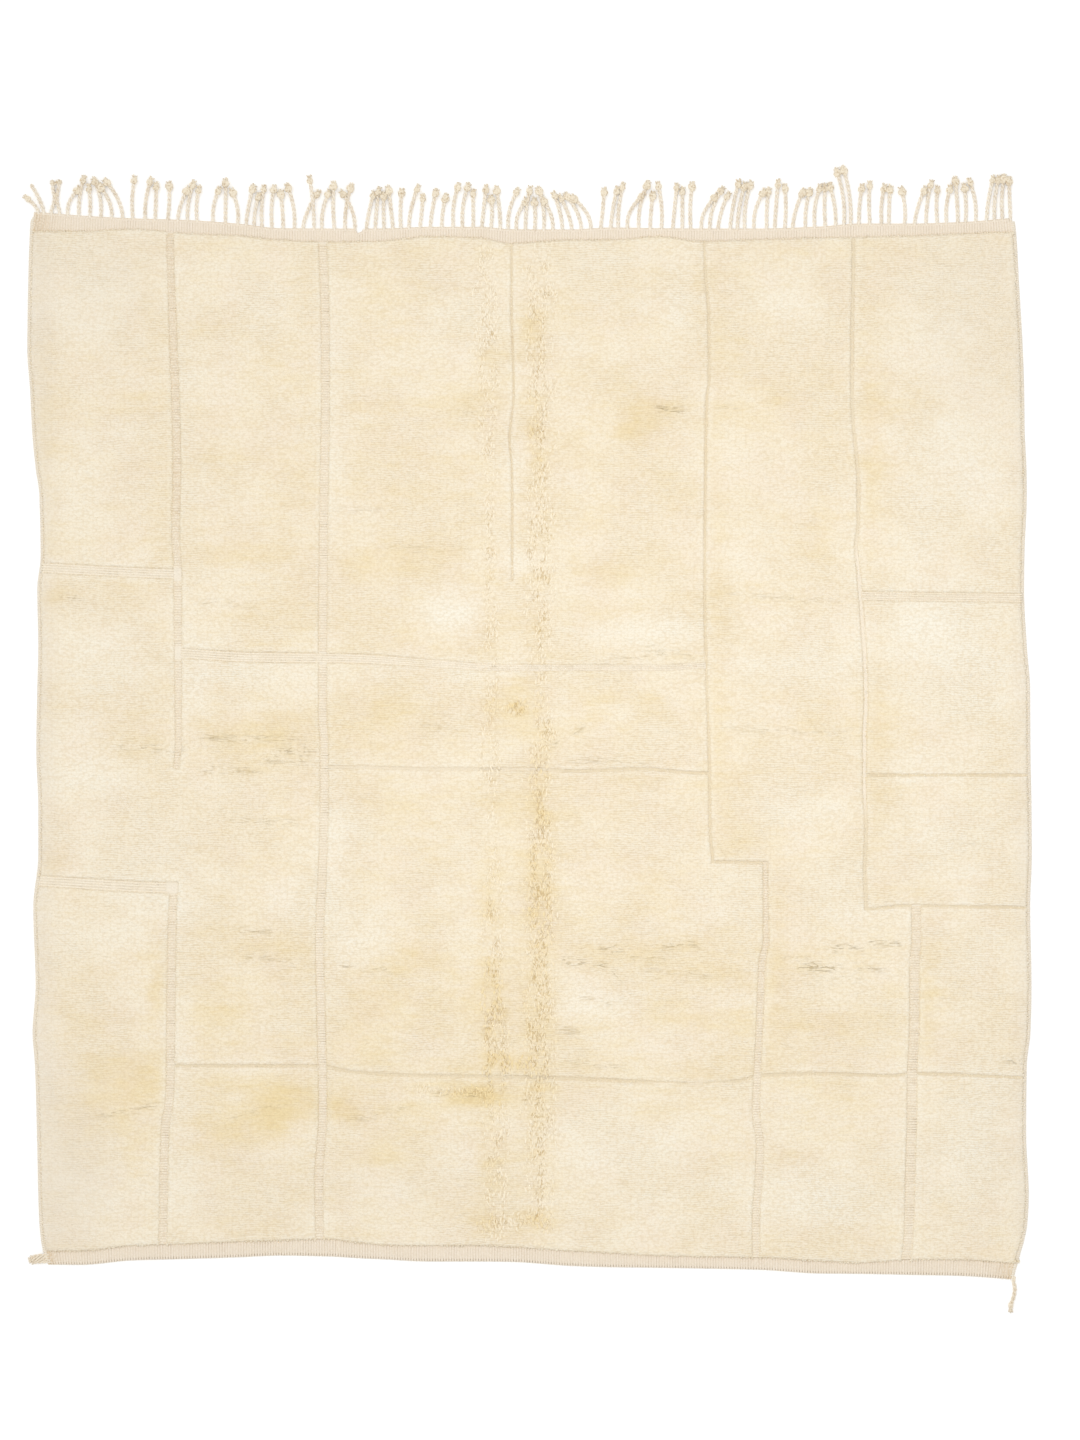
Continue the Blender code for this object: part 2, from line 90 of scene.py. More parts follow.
ENDS = [End(*row) for row in (
    (-1462, 1592, 1534, -1526, -1566), (-1342, 1582, 1534, -1526, -1567),
    (-1192, 1574, 1540, -1510, -1554), (-1012, 1568, 1527, -1504, -1549),
    (-862, 1557, 1520, -1498, -1544), (-742, 1544, 1508, -1494, -1539),
    (-592, 1543, 1502, -1490, -1542), (-523, 1543, 1503, -1500, -1546),
    (-506, 1527, 1503, -1501, -1547), (-489, 1543, 1503, -1502, -1548),
    (-442, 1543, 1504, -1508, -1550), (-292, 1548, 1518, -1510, -1557),
    (-142, 1548, 1514, -1510, -1557), (-52, 1541, 1498, -1514, -1558),
    (128, 1540, 1508, -1526, -1570), (248, 1546, 1508, -1532, -1574),
    (398, 1544, 1518, -1540, -1576), (518, 1543, 1504, -1543, -1578),
    (698, 1543, 1509, -1546, -1582), (878, 1549, 1514, -1556, -1593),
    (998, 1558, 1516, -1562, -1594), (1148, 1558, 1520, -1552, -1597),
    (1298, 1562, 1526, -1552, -1600), (1448, 1574, 1532, -1562, -1610),
)]

# Courses that the grooves follow: at each place along, where the course lies and its floor's width.
Station = namedtuple("Station", "along across width")
LENGTHWISE = {
    "far_left": (
        (-1492, -1094, 24), (-1174, -1088, 24), (-1040, -1072, 24), (-800, -1070, 24),
        (-526, -1066, 23), (-424, -1060, 23), (-74, -1054, 17), (-8, -1048, 18),
        (518, -1050, 23), (626, -1056, 23), (826, -1052, 23), (1238, -1064, 22), (1478, -1072, 20),
    ),
    "left": (
        (-1492, -624, 24), (-1310, -626, 24), (-1108, -614, 24), (-796, -620, 24),
        (-596, -624, 24), (-394, -616, 24), (-194, -610, 24), (0, -610, 24),
        (90, -615, 24), (626, -612, 24), (1075, -606, 24), (1308, -608, 24), (1500, -615, 24),
    ),
    "middle": (
        (488, -46, 6), (690, -46, 6), (826, -47, 6), (908, -54, 6), (1042, -41, 6), (1282, -48, 6),
    ),
    "inner_right": (
        (-352, 556, 9), (-260, 548, 9), (8, 544, 8), (158, 538, 8), (452, 532, 8),
        (1024, 537, 8), (1090, 545, 8), (1282, 543, 8), (1388, 535, 8), (1490, 530, 8),
    ),
    "lower_right": (
        (-1538, 686, 22), (-1408, 686, 22), (-1342, 692, 22), (-1208, 698, 22), (-1108, 686, 22),
        (-994, 690, 20), (-764, 700, 20), (-662, 704, 20), (-596, 716, 18), (-360, 714, 16),
    ),
    "right": (
        (-494, 1016, 12), (-394, 1012, 12), (-260, 1016, 12), (-128, 1011, 14), (8, 1011, 15),
        (124, 1016, 15), (488, 996, 15), (592, 986, 13), (658, 993, 12), (760, 993, 12),
        (1028, 974, 12), (1226, 974, 12), (1390, 978, 12),
    ),
    "far_right": (
        (-1546, 1137, 28), (-1474, 1144, 28), (-1240, 1150, 28), (-1108, 1154, 29),
        (-996, 1154, 29), (-870, 1161, 29), (-662, 1162, 29), (-596, 1167, 28), (-490, 1167, 27),
    ),
}
CROSSWISE = {
    "first": (
        (-1454, 524, 30), (-1066, 506, 30), (-46, 488, 8), (1010, 440, 27), (1480, 434, 27),
    ),
    "second": (
        (-1042, 268, 30), (-832, 256, 30), (-532, 252, 28), (-266, 236, 22), (-64, 224, 19),
        (404, 224, 18), (520, 231, 18),
    ),
    "third": (
        (-1054, -74, 10), (-532, -74, 10), (-266, -80, 10), (38, -80, 10), (136, -86, 10),
        (338, -80, 10), (524, -92, 10), (1016, -98, 9),
    ),
    "fourth": (
        (-1460, -416, 33), (-1060, -436, 33), (556, -358, 9), (716, -361, 9), (1016, -500, 9),
        (1132, -490, 9), (1502, -496, 9),
    ),
    "fifth": (
        (-1060, -970, 10), (-626, -970, 10), (-532, -988, 10), (-364, -998, 10), (70, -1006, 10),
        (338, -1017, 10), (503, -1024, 10), (622, -1017, 10), (716, -998, 10), (890, -994, 10),
        (1090, -1000, 10), (1156, -994, 10), (1492, -1006, 10),
    ),
}
Groove = namedtuple("Groove", "course start stop")
GROOVES = [Groove(*row) for row in (
    ("far_left", "third", "top"), ("far_left", "bottom", "fourth"), ("left", "bottom", "top"),
    ("middle", "first", "top"), ("inner_right", "fourth", "top"),
    ("lower_right", "bottom", "fourth"), ("right", "fourth", "top"),
    ("far_right", "bottom", "fourth"), ("first", "left_side", "far_left"),
    ("first", "right", "right_side"), ("second", "far_left", "inner_right"),
    ("third", "left", "inner_right"), ("third", "right", "right_side"),
    ("fourth", "left_side", "far_left"), ("fourth", "inner_right", "lower_right"),
    ("fourth", "right", "right_side"), ("fifth", "far_left", "right_side"),
)]

# The order of what the net of points follows, and how fine the net is there.
COLUMN_ORDER = (
    "far_left", "left", -523, -506, -489, -160, -64, "middle", 0, 78, "inner_right",
    "lower_right", "right", "far_right",
)
ROW_ORDER = (
    -1100, -1020, "fifth", -900, -780, "fourth", -280, "third", "second", "first", 820, 1040,
)
NET_STEP = 9.0
FINE_STEP = 3.0
FINE_COLUMNS = ((-160, -64), (0, 78))
FINE_ROWS = ((-1100, -1020), (-780, -580))
NET_SAMPLES = np.linspace(-1450, 1450, 30)
CROSSING_STEPS = 6


def ramp(value, none, full):
    """0 at none, 1 at full and straight between."""
    return np.clip((value - none) / (full - none), 0, 1)


def curve(rows, place_column, value_column):
    """A smooth curve through two columns of a table that never overshoots them."""
    places = np.array([getattr(row, place_column) for row in rows], float)
    values = np.array([getattr(row, value_column) for row in rows], float)
    slopes = np.diff(values) / np.diff(places)
    before = slopes[:-1]
    after = slopes[1:]
    same_way = before * after > 0
    total = np.where(same_way, before + after, 1.0)
    inner = np.where(same_way, 2 * before * after / total, 0.0)
    tangents = np.concatenate((slopes[:1], inner, slopes[-1:]))

    def value_at(place):
        place = np.clip(place, places[0], places[-1])
        i = np.clip(np.searchsorted(places, place, side="right") - 1, 0, len(places) - 2)
        span = places[i + 1] - places[i]
        t = (place - places[i]) / span
        return (
            values[i] + (values[i + 1] - values[i]) * (3 - 2 * t) * t * t
            + span * tangents[i] * t * (1 - t) ** 2
            - span * tangents[i + 1] * t * t * (1 - t)
        )
    return value_at


left_edge = curve(SIDES, "y", "left")
right_edge = curve(SIDES, "y", "right")
fringe_line = curve(ENDS, "x", "fringe")
pile_top = curve(ENDS, "x", "pile_top")
pile_foot = curve(ENDS, "x", "pile_foot")
hem = curve(ENDS, "x", "hem")


def shown_width(width):
    """How much of a groove's floor shows between the piles on both sides."""
    return width * (CLOSED_WIDTH + (1 - CLOSED_WIDTH) * ramp(width, NARROW_GROOVE, WIDE_GROOVE))


Course = namedtuple("Course", "middle width")
courses = {}
for course_name, course_rows in {**LENGTHWISE, **CROSSWISE}.items():
    stations = [Station(along, across, shown_width(width)) for along, across, width in course_rows]
    courses[course_name] = Course(
        curve(stations, "along", "across"), curve(stations, "along", "width")
    )

Line = namedtuple("Line", "place name", defaults=(None,))


def beside(place, distance):
    """A line that stays a distance from another."""
    return Line(lambda at: place(at) + distance)


def course_lines(name):
    """The lines of a groove: up one side of the pile, its floor's middle, and up the other."""
    course = courses[name]

    def line(side, out):
        return Line(lambda at: course.middle(at) + side * (course.width(at) / 2 + out))
    left = [line(-1, out) for out in reversed(rise_out)]
    right = [line(1, out) for out in rise_out]
    return left + [Line(course.middle, name)] + right


def net(first, order, last, fine):
    """All lines of the net one way, with plain lines spread between those that follow something."""
    marked = list(first)
    for mark in order:
        if mark in courses:
            marked += course_lines(mark)
        else:
            marked.append(Line(lambda at, mark=mark: mark + 0 * at))
    marked += last
    lines = [marked[0]]
    for near, far in zip(marked, marked[1:]):
        start = np.mean(near.place(NET_SAMPLES))
        stop = np.mean(far.place(NET_SAMPLES))
        centre = (start + stop) / 2
        step = FINE_STEP if any(low < centre < high for low, high in fine) else NET_STEP
        count = max(1, round((stop - start) / step))
        for k in range(1, count):
            lines.append(Line(
                lambda at, near=near, far=far, share=k / count:
                near.place(at) * (1 - share) + far.place(at) * share
            ))
        lines.append(far)
    return lines


columns = net(
    [Line(left_edge)] + [beside(left_edge, SIDE_EDGE + out) for out in rise_out],
    COLUMN_ORDER,
    [beside(right_edge, -SIDE_EDGE - out) for out in reversed(rise_out)] + [Line(right_edge)],
    FINE_COLUMNS,
)
rows = net(
    [Line(hem)] + [beside(pile_foot, out) for out in rise_out],
    ROW_ORDER,
    [beside(pile_top, -out) for out in reversed(rise_out)]
    + [beside(fringe_line, -STRIP_DEPTH - GAP)],
    FINE_ROWS,
)

# Where the lines along the rug cross the lines across it: each place is worked out again until
# both agree.
net_x = np.zeros((len(columns), len(rows)))
net_y = np.zeros((len(columns), len(rows)))
for _ in range(CROSSING_STEPS):
    for i, column in enumerate(columns):
        net_x[i] = column.place(net_y[i])
    for j, row in enumerate(rows):
        net_y[:, j] = row.place(net_x[:, j])


# A layer of soft lumps: how much it adds or takes, the lumps' sizes, and where its noise starts.
# An infinite size leaves the layer even that way.
Lumps = namedtuple("Lumps", "amount size_x size_y start")
PILE_LUMPS = (Lumps(1.0, 120, 70, 1.0), Lumps(0.9, 40, 22, 2.0), Lumps(0.7, 16, 11, 3.0))
RIM_WANDER = Lumps(0.9, 22, 22, 4.0)
RUFFLE_DRIFT = Lumps(16, math.inf, 80, 17.0)
RUFFLE_BREAKS = Lumps(1.9, 26, 60, 8.0)
TONE_DRIFT_X = Lumps(36, 150, 40, 12.0)
TONE_DRIFT_Y = Lumps(12, 90, 50, 15.0)
TONE_LUMPS = (Lumps(0.3, 260, 80, 13.0), Lumps(0.28, 80, 24, 14.0))
CRACK_BREAKS = Lumps(1.5, 26, 90, 9.0)
CRACK_BEND = (Lumps(8, 50, math.inf, 10.0), Lumps(2.5, 16, math.inf, 11.0))

# The pile's rim: where it starts to wander, and how near to the flat weave it may then come.
RIM_FROM = 0.4
RIM_NEAREST = 0.6


def lumpy(x, y, *layers):
    """The sum of layers of soft noise over places."""
    total = 0 * x
    for layer in layers:
        places = zip((x / layer.size_x).ravel(), (y / layer.size_y).ravel())
        values = [noise.noise(Vector((a, b, layer.start))) for a, b in places]
        total += layer.amount * np.array(values).reshape(x.shape)
    return total


def past_groove(groove, x, y):
    """How far places lie from the floor of a groove, and the width of its floor there."""
    along, across = (y, x) if groove.course in LENGTHWISE else (x, y)
    course = courses[groove.course]
    width = course.width(along)
    beside_it = np.abs(across - course.middle(along)) - width / 2
    past_end = 0 * x
    if groove.start in courses:
        start = courses[groove.start]
        past_end = np.maximum(past_end, start.middle(across) - start.width(across) / 2 - along)
    if groove.stop in courses:
        stop = courses[groove.stop]
        past_end = np.maximum(past_end, along - stop.middle(across) - stop.width(across) / 2)
    return np.hypot(np.maximum(beside_it, 0), past_end), width


def filled(course_name, x):
    """How much higher a course's floor stands at places, where pile fills it."""
    return 0 * x + sum(
        filling.lift * ramp(x, filling.none, filling.full)
        for filling in FILLINGS if filling.course == course_name
    )


def past_weave(x, y):
    """How far places on the pile lie from any flat weave, and how high that weave shows."""
    nearest = np.minimum.reduce([
        x - left_edge(y) - SIDE_EDGE, right_edge(y) - SIDE_EDGE - x,
        y - pile_foot(x), pile_top(x) - y,
    ])
    nearest = np.maximum(nearest, 0)
    floor = np.full(x.shape, GROUND_HEIGHT)
    for groove in GROOVES:
        away, width = past_groove(groove, x, y)
        closed = ramp(width, OPEN_AT, CLOSED_AT)
        here = GROOVE_HEIGHT + (CLOSED_FLOOR - GROOVE_HEIGHT) * closed + filled(groove.course, x)
        floor = np.where(away < nearest, here, floor)
        nearest = np.minimum(nearest, away)
    wandering = np.maximum(nearest + lumpy(x, y, RIM_WANDER), RIM_NEAREST)
    return np.where(nearest > RIM_FROM, wandering, nearest), floor


# The pile's soft unevenness: the height of each wave, its lengths across and along, its start.
Wave = namedtuple("Wave", "height across along start")
WAVES = [Wave(*row) for row in ((0.7, 910, 1270, 0.4), (0.5, 530, 410, 1.9), (0.4, 290, 350, 3.1))]

# Where the pile is ruffled: two strips down the middle, and patches beside them.
Patch = namedtuple("Patch", "x y reach_x reach_y strength")
RUFFLED = [Patch(*row) for row in (
    (-124, 1190, 34, 330, 0.32), (-112, 620, 24, 300, 0.2), (-110, 60, 26, 400, 0.24),
    (-100, -640, 34, 260, 0.34),
    (-95, -900, 36, 150, 0.42), (-98, -1200, 36, 300, 0.32), (38, 1200, 46, 330, 0.38),
    (38, 560, 42, 420, 0.36), (36, -80, 32, 160, 0.42), (40, -420, 40, 260, 0.62),
    (38, -780, 38, 200, 0.6), (38, -1120, 42, 340, 0.48), (-30, -985, 80, 28, 0.5),
    (-190, -1052, 60, 18, 0.35), (-32, 104, 30, 20, 0.9), (-300, -1040, 80, 14, 0.25),
    (-20, -1440, 120, 30, 0.3), (62, 30, 30, 44, 0.4),
)]
RUFFLE_DEPTH = 2.0
CRACK_SINK = 0.1

# Cracks where the rug was folded: each runs from one place to another and opens so deep.
Crack = namedtuple("Crack", "x_from y_from x_to y_to depth")
CRACKS = [Crack(*row) for row in (
    (800, -673, 950, -677, 8), (860, -700, 1010, -704, 2), (900, -612, 1015, -626, 7),
    (1015, -599, 1130, -604, 5), (740, -640, 860, -650, 3), (980, -676, 1080, -683, 4),
    (97, -650, 250, -676, 7), (240, -672, 290, -728, 4), (205, -618, 292, -622, 6),
    (300, -641, 420, -648, 3), (330, -676, 480, -684, 3), (400, -608, 525, -611, 5),
    (410, -690, 560, -700, 3), (90, -862, 180, -868, 4), (-890, -560, -640, -580, 4),
    (-860, -640, -650, -672, 4), (-590, -668, -385, -684, 4), (-1310, -1122, -1090, -1085, 4),
    (372, 1006, 482, 992, 7), (340, 292, 510, 252, 3), (-470, 588, -158, 580, 2),
    (550, 44, 980, 28, 3), (550, 450, 960, 420, 3), (1390, -940, 1490, -966, 5),
    (-310, -1042, -120, -1068, 5), (-1410, 440, -1320, 425, 4), (-330, 60, -190, 30, 3),
    (560, 1010, 640, 1000, 3), (110, -52, 390, -64, 3.5), (180, 240, 500, 275, 3),
    (-250, 985, -60, 1000, 2.5), (-640, 690, -420, 700, 2.5), (150, -760, 260, -790, 3),
    (100, -955, 320, -985, 3), (-560, -1140, -330, -1090, 3.5), (-900, -1130, -700, -1075, 3),
    (56, -16, 188, 52, 3.5), (-1010, 14, -640, 8, 4.5), (-1130, -20, -1020, -26, 4.5),
    (-760, -24, -630, -30, 5), (-800, -54, -630, -60, 4.5), (-1000, -82, -780, -88, 4),
    (-1240, -12, -1100, -20, 3.5), (-910, -236, -655, -240, 3.5), (-992, 421, -800, 418, 3.5),
)]

# Golden and pale places of the wool, from -1, palest, to 1, golden.
TONES = [Patch(*row) for row in (
    (357, 985, 80, 62, 0.95), (312, 926, 66, 34, 0.5), (715, 1000, 130, 60, 0.4),
    (1040, 1015, 60, 60, 0.35), (1045, 820, 50, 120, 0.25), (17, 1240, 36, 45, 0.6),
    (-122, 1157, 34, 36, 0.35), (17, 920, 30, 140, 0.4), (-300, 1010, 220, 30, 0.25),
    (-862, 560, 160, 38, 0.45), (-420, 540, 160, 50, 0.45), (-240, 555, 60, 36, 0.35),
    (237, 497, 80, 45, 0.35), (-1422, 437, 50, 24, 0.6),
    (-1240, 455, 120, 36, 0.3), (-820, 10, 190, 90, 0.45), (-442, 55, 130, 90, 0.45),
    (-60, 105, 110, 90, 0.5), (-38, 108, 30, 11, 0.5), (-18, 97, 20, 9, 0.35),
    (250, 100, 180, 60, 0.3),
    (1077, 57, 100, 60, 0.25), (877, 617, 45, 130, 0.3), (36, -400, 60, 170, 0.5),
    (34, -130, 46, 120, 0.45), (38, -800, 60, 260, 0.36), (-110, -500, 56, 220, 0.3),
    (-1422, -363, 50, 34, 0.45), (-722, -622, 120, 26, 0.4), (-950, -790, 110, 90, 0.3),
    (-322, -655, 160, 56, 0.4), (-118, -790, 60, 150, 0.36), (-442, -800, 110, 90, 0.3),
    (330, -625, 170, 42, 0.4), (500, -690, 120, 42, 0.25), (890, -640, 160, 50, 0.3),
    (560, -830, 180, 40, 0.3), (880, -865, 120, 80, 0.3), (-1200, -1010, 130, 80, 0.78),
    (-1310, -1110, 160, 60, 0.3), (-1120, -745, 24, 60, 0.4), (-715, -1085, 150, 62, 0.98),
    (-900, -1170, 170, 50, 0.55), (-542, -1105, 50, 44, 0.75), (-442, -1240, 70, 34, 0.45),
    (-322, -1100, 90, 24, 0.4), (-175, -1060, 100, 28, 0.95), (-62, -955, 70, 30, 0.85),
    (-142, -1440, 50, 36, 0.5), (17, -1430, 56, 40, 0.6), (38, -1200, 60, 170, 0.28),
    (-112, -1220, 52, 160, 0.25), (36, 300, 44, 420, 0.2), (-110, 300, 40, 380, 0.1),
    (-300, 900, 800, 560, 0.1), (-300, 0, 800, 300, 0.08), (-500, -900, 800, 420, 0.14),
    (800, -900, 600, 500, 0.06), (566, 720, 32, 760, 0.28), (-890, 385, 140, 44, 0.35),
    (-393, -178, 150, 56, 0.35), (-55, -220, 40, 80, 0.3), (176, -430, 60, 60, 0.3),
    (-562, -894, 130, 110, 0.25), (451, -768, 120, 30, 0.3), (366, -1105, 70, 40, 0.3),
    (71, -1442, 60, 40, 0.35), (-740, -1147, 70, 50, 0.4), (-1182, -1180, 40, 260, 0.35),
    (274, 393, 140, 50, 0.3), (1014, 900, 44, 470, 0.32), (-1440, 900, 30, 600, 0.2),
    (-242, 395, 90, 50, -0.75), (357, 335, 170, 50, -0.6), (860, 250, 170, 80, -0.55),
    (1197, 297, 170, 110, -0.42), (1237, 1330, 150, 140, -0.35), (757, 1330, 130, 160, -0.05),
    (-662, -463, 120, 60, -0.5), (-530, -250, 90, 90, -0.4), (-1322, -103, 140, 80, -0.4),
    (-1322, -583, 150, 70, -0.35), (237, -775, 130, 50, -0.5), (277, -1200, 200, 140, -0.45),
    (640, -463, 110, 110, -0.35), (797, -183, 150, 90, -0.35), (877, -1330, 140, 110, -0.35),
    (1317, -1183, 110, 160, -0.35), (1277, -303, 130, 110, -0.3), (-1300, 1330, 150, 160, -0.35),
    (-40, 830, 50, 60, -0.5), (1277, 817, 130, 180, -0.4), (-230, -1250, 80, 80, -0.3),
    (-1330, 760, 120, 200, -0.2), (-1200, -1330, 220, 90, -0.2), (-1290, 250, 150, 190, -0.4),
    (-1150, -330, 190, 160, -0.4), (1320, 200, 150, 170, -0.45), (940, -470, 100, 150, -0.4),
    (1380, -600, 80, 80, -0.35), (850, -1370, 560, 90, -0.3), (1380, -1180, 120, 200, -0.35),
    (-1363, 1480, 90, 60, -0.35), (-793, 1300, 80, 90, -0.45), (-202, 1258, 140, 80, -0.4),
    (218, 1440, 100, 60, -0.5), (451, 1342, 50, 140, -0.4), (1168, 625, 80, 130, -0.45),
    (28, 541, 80, 36, -0.4), (-181, 202, 100, 50, -0.5), (302, 97, 70, 40, -0.4),
    (-900, 202, 160, 34, -0.35), (-1069, -493, 120, 50, -0.45), (-478, -599, 90, 100, -0.45),
    (788, 1250, 120, 140, -0.2), (100, 90, 60, 44, -0.3),
    (578, -70, 46, 270, 0.3), (1040, -20, 46, 420, 0.26), (1194, -735, 30, 220, 0.45),
    (744, -680, 44, 270, 0.4), (-572, -500, 46, 400, -0.25), (-574, 1000, 46, 440, -0.3),
    (-1010, 240, 44, 230, -0.35), (-1020, 1000, 40, 400, -0.2), (-1036, -980, 42, 460, -0.35),
    (-1116, -980, 40, 460, 0.2), (1240, 434, 240, 84, -0.35), (-820, 205, 190, 50, -0.3),
    (-830, -1020, 180, 30, 0.3), (40, -1002, 620, 56, 0.2), (920, -1030, 200, 34, 0.25),
    (1350, 0, 240, 1700, -0.12), (34, -520, 84, 460, 0.13), (-100, -860, 76, 560, 0.1),
    (990, 880, 30, 480, -0.2), (640, -180, 50, 150, 0.2),
)]

# Painted shade where the light falls off: the cloth is painted darker towards its side
# edges, most down the left one and in the lower corners.
FALLOFF_SHADE_PATCHES = [Patch(*row) for row in (
    (-1480, 0, 65, 3000, 0.85), (-1420, -1300, 170, 330, 0.85), (-1330, 1380, 260, 200, 0.4),
    (1500, 0, 45, 3000, 0.6), (1390, 1200, 240, 420, 0.45), (1440, -1250, 110, 260, 0.3),
    (-700, -1350, 700, 130, 0.18),
)]

# How deep a crack shows in full, the half widths of its dip and of the crease round it, and the
# distances past which its line isn't drawn and isn't measured.
FULL_CRACK = 8
CRACK_HALF = 4.5
CREASE_HALF = 15
LINE_REACH = 18
FAR_FROM_CRACKS = 40

# How far a noise of no strength leaves the ruffles and the cracks shown.
RUFFLE_LEVEL = 0.9
CRACK_LEVEL = 0.55

# The pile's crest, where it stands roundest and takes a painted highlight: how far from the flat
# weave, and how wide. Below the share the flat weave counts as bare.
CREST_OUT = 7
CREST_WIDTH = 9
BARE_SHARE = 0.3


def patchwork(patches, x, y):
    """The sum of soft oval patches at places."""
    total = np.zeros(x.shape)
    for patch in patches:
        distance = ((x - patch.x) / patch.reach_x) ** 2 + ((y - patch.y) / patch.reach_y) ** 2
        total += patch.strength * np.exp(-distance ** 1.5)
    return total


def ruffled(x, y):
    """How ruffled the pile is at places, from 0 to 1."""
    strips = patchwork(RUFFLED, x + lumpy(x, y, RUFFLE_DRIFT), y)
    return np.clip(strips * (RUFFLE_LEVEL + lumpy(x, y, RUFFLE_BREAKS)), 0, 1)


def tone_at(x, y):
    """The wool's tone at places, from -1, palest, to 1, golden."""
    stains = patchwork(TONES, x + lumpy(x, y, TONE_DRIFT_X), y + lumpy(x, y, TONE_DRIFT_Y))
    return stains + lumpy(x, y, *TONE_LUMPS)


def cracks(x, y):
    """The fold cracks at places: their depth, how creased the pile is, how far off the nearest
    crack's line lies and how strongly that line shows."""
    depth = np.zeros(x.shape)
    creased = np.zeros(x.shape)
    past = np.full(x.shape, 99.0)
    shown = np.zeros(x.shape)
    breaks = np.clip(lumpy(x, y, CRACK_BREAKS) + CRACK_LEVEL, 0, 1)
    bend = lumpy(x, y, *CRACK_BEND)
    for crack in CRACKS:
        share = ramp(x, crack.x_from, crack.x_to)
        line = crack.y_from + (crack.y_to - crack.y_from) * share + bend
        away = np.abs(y - line)
        fading = np.clip(8 * share * (1 - share), 0, 1)
        strength = crack.depth / FULL_CRACK * fading
        dip = crack.depth * np.clip(1 - away / CRACK_HALF, 0, 1)
        depth = np.maximum(depth, dip * fading * breaks)
        creased = np.maximum(creased, strength * np.clip(1.3 - away / CREASE_HALF, 0, 1))
        nearer = (away < np.abs(past)) & (fading > 0)
        past = np.where(nearer, y - line, past)
        shown = np.where(nearer, strength * breaks * (away < LINE_REACH), shown)
    return depth, creased, np.clip(past, -FAR_FROM_CRACKS, FAR_FROM_CRACKS), shown


free_of_weave, weave_height = past_weave(net_x, net_y)
pile_share = np.interp(free_of_weave, rise_out, rise_share)
height = PILE_HEIGHT + lumpy(net_x, net_y, *PILE_LUMPS)
for wave in WAVES:
    across = np.sin(2 * math.pi * net_x / wave.across + wave.start)
    along = np.sin(2 * math.pi * net_y / wave.along + wave.start)
    height += wave.height * across * along
ruffle = ruffled(net_x, net_y)
crack_depth, fold, crack_past, crack_shown = cracks(net_x, net_y)
height -= RUFFLE_DEPTH * ruffle + CRACK_SINK * crack_depth
net_z = weave_height + (height - weave_height) * pile_share
net_z[0] = net_z[-1] = net_z[:, 0] = EDGE_HEIGHT
net_places = np.stack((net_x, net_y, net_z), axis=-1)

# What the finishes read at every place of the net: how golden, ruffled and creased the wool is
# there, the painted falloff shade, the crack by it, the painted highlight on the pile's rounded
# crest, and where the flat weave lies bare.
crest = np.exp(-((free_of_weave - CREST_OUT) / CREST_WIDTH) ** 2)
net_marks = {
    "tone": tone_at(net_x, net_y),
    "ruffle": ruffle,
    "fold": fold,
    "crest": crest * (pile_share > BARE_SHARE),
    "slit": crack_shown,
    "past": crack_past * MM,
    "dim": np.clip(patchwork(FALLOFF_SHADE_PATCHES, net_x, net_y), 0, 1),
    "weave": 1.0 * (pile_share < BARE_SHARE),
}

# Which panel each square of the net belongs to: the cuts run down the floors of grooves.
column_of = {line.name: i for i, line in enumerate(columns) if line.name}
row_of = {line.name: j for j, line in enumerate(rows) if line.name}
Cut = namedtuple("Cut", "above below")
CUTS = [Cut("left", "left"), Cut("inner_right", "lower_right"), Cut("right", "far_right")]
panel_number = np.zeros((len(columns) - 1, len(rows) - 1), int)
for cut in CUTS:
    panel_number[column_of[cut.above]:, row_of["fourth"]:] += 1
    panel_number[column_of[cut.below]:, :row_of["fourth"]] += 1


class Thread:
    """A socket of a node tree. An expression on threads and numbers adds its Math nodes."""

    def __init__(self, tree, socket):
        self.tree = tree
        self.socket = socket

    def math(self, operation, *values):
        return self.tree.node("ShaderNodeMath", {"operation": operation}, values)

    def also(self, output):
        """Another output of the same node."""
        return Thread(self.tree, self.socket.node.outputs[output])

    def __add__(self, other):
        return self.math("ADD", self, other)

    def __sub__(self, other):
        return self.math("SUBTRACT", self, other)

    def __rsub__(self, other):
        return self.math("SUBTRACT", other, self)

    def __mul__(self, other):
        return self.math("MULTIPLY", self, other)

    def __truediv__(self, other):
        return self.math("DIVIDE", self, other)

    def __gt__(self, other):
        return self.math("GREATER_THAN", self, other)

    def __abs__(self):
        return self.math("ABSOLUTE", self)

    def sine(self):
        return self.math("SINE", self)

    def cosine(self):
        return self.math("COSINE", self)

    __radd__ = __add__
    __rmul__ = __mul__


class Tree:
    """The nodes of one material or of one Geometry Nodes tree."""

    def __init__(self, node_tree):
        self.nodes = node_tree.nodes
        self.links = node_tree.links

    def put(self, value, socket):
        if isinstance(value, Thread):
            self.links.new(value.socket, socket)
        else:
            socket.default_value = value

    def node(self, kind, settings=None, values=(), output=0):
        """Add a node: its settings first, then the values or threads of its sockets."""
        made = self.nodes.new(kind)
        for name, setting in (settings or {}).items():
            setattr(made, name, setting)
        sockets = values.items() if isinstance(values, dict) else enumerate(values)
        for key, value in sockets:
            self.put(value, made.inputs[key])
        return Thread(self, made.outputs[output]) if made.outputs else None

    def share_of(self, value, low, high, interpolation="LINEAR"):
        """0 at low and 1 at high, straight between them unless another way is named."""
        values = {"Value": value, "From Min": low, "From Max": high}
        return self.node("ShaderNodeMapRange", {"interpolation_type": interpolation}, values)


def set_values(node, values):
    """Set sockets of a node by their labels."""
    for label, value in values.items():
        node.inputs[label].default_value = value


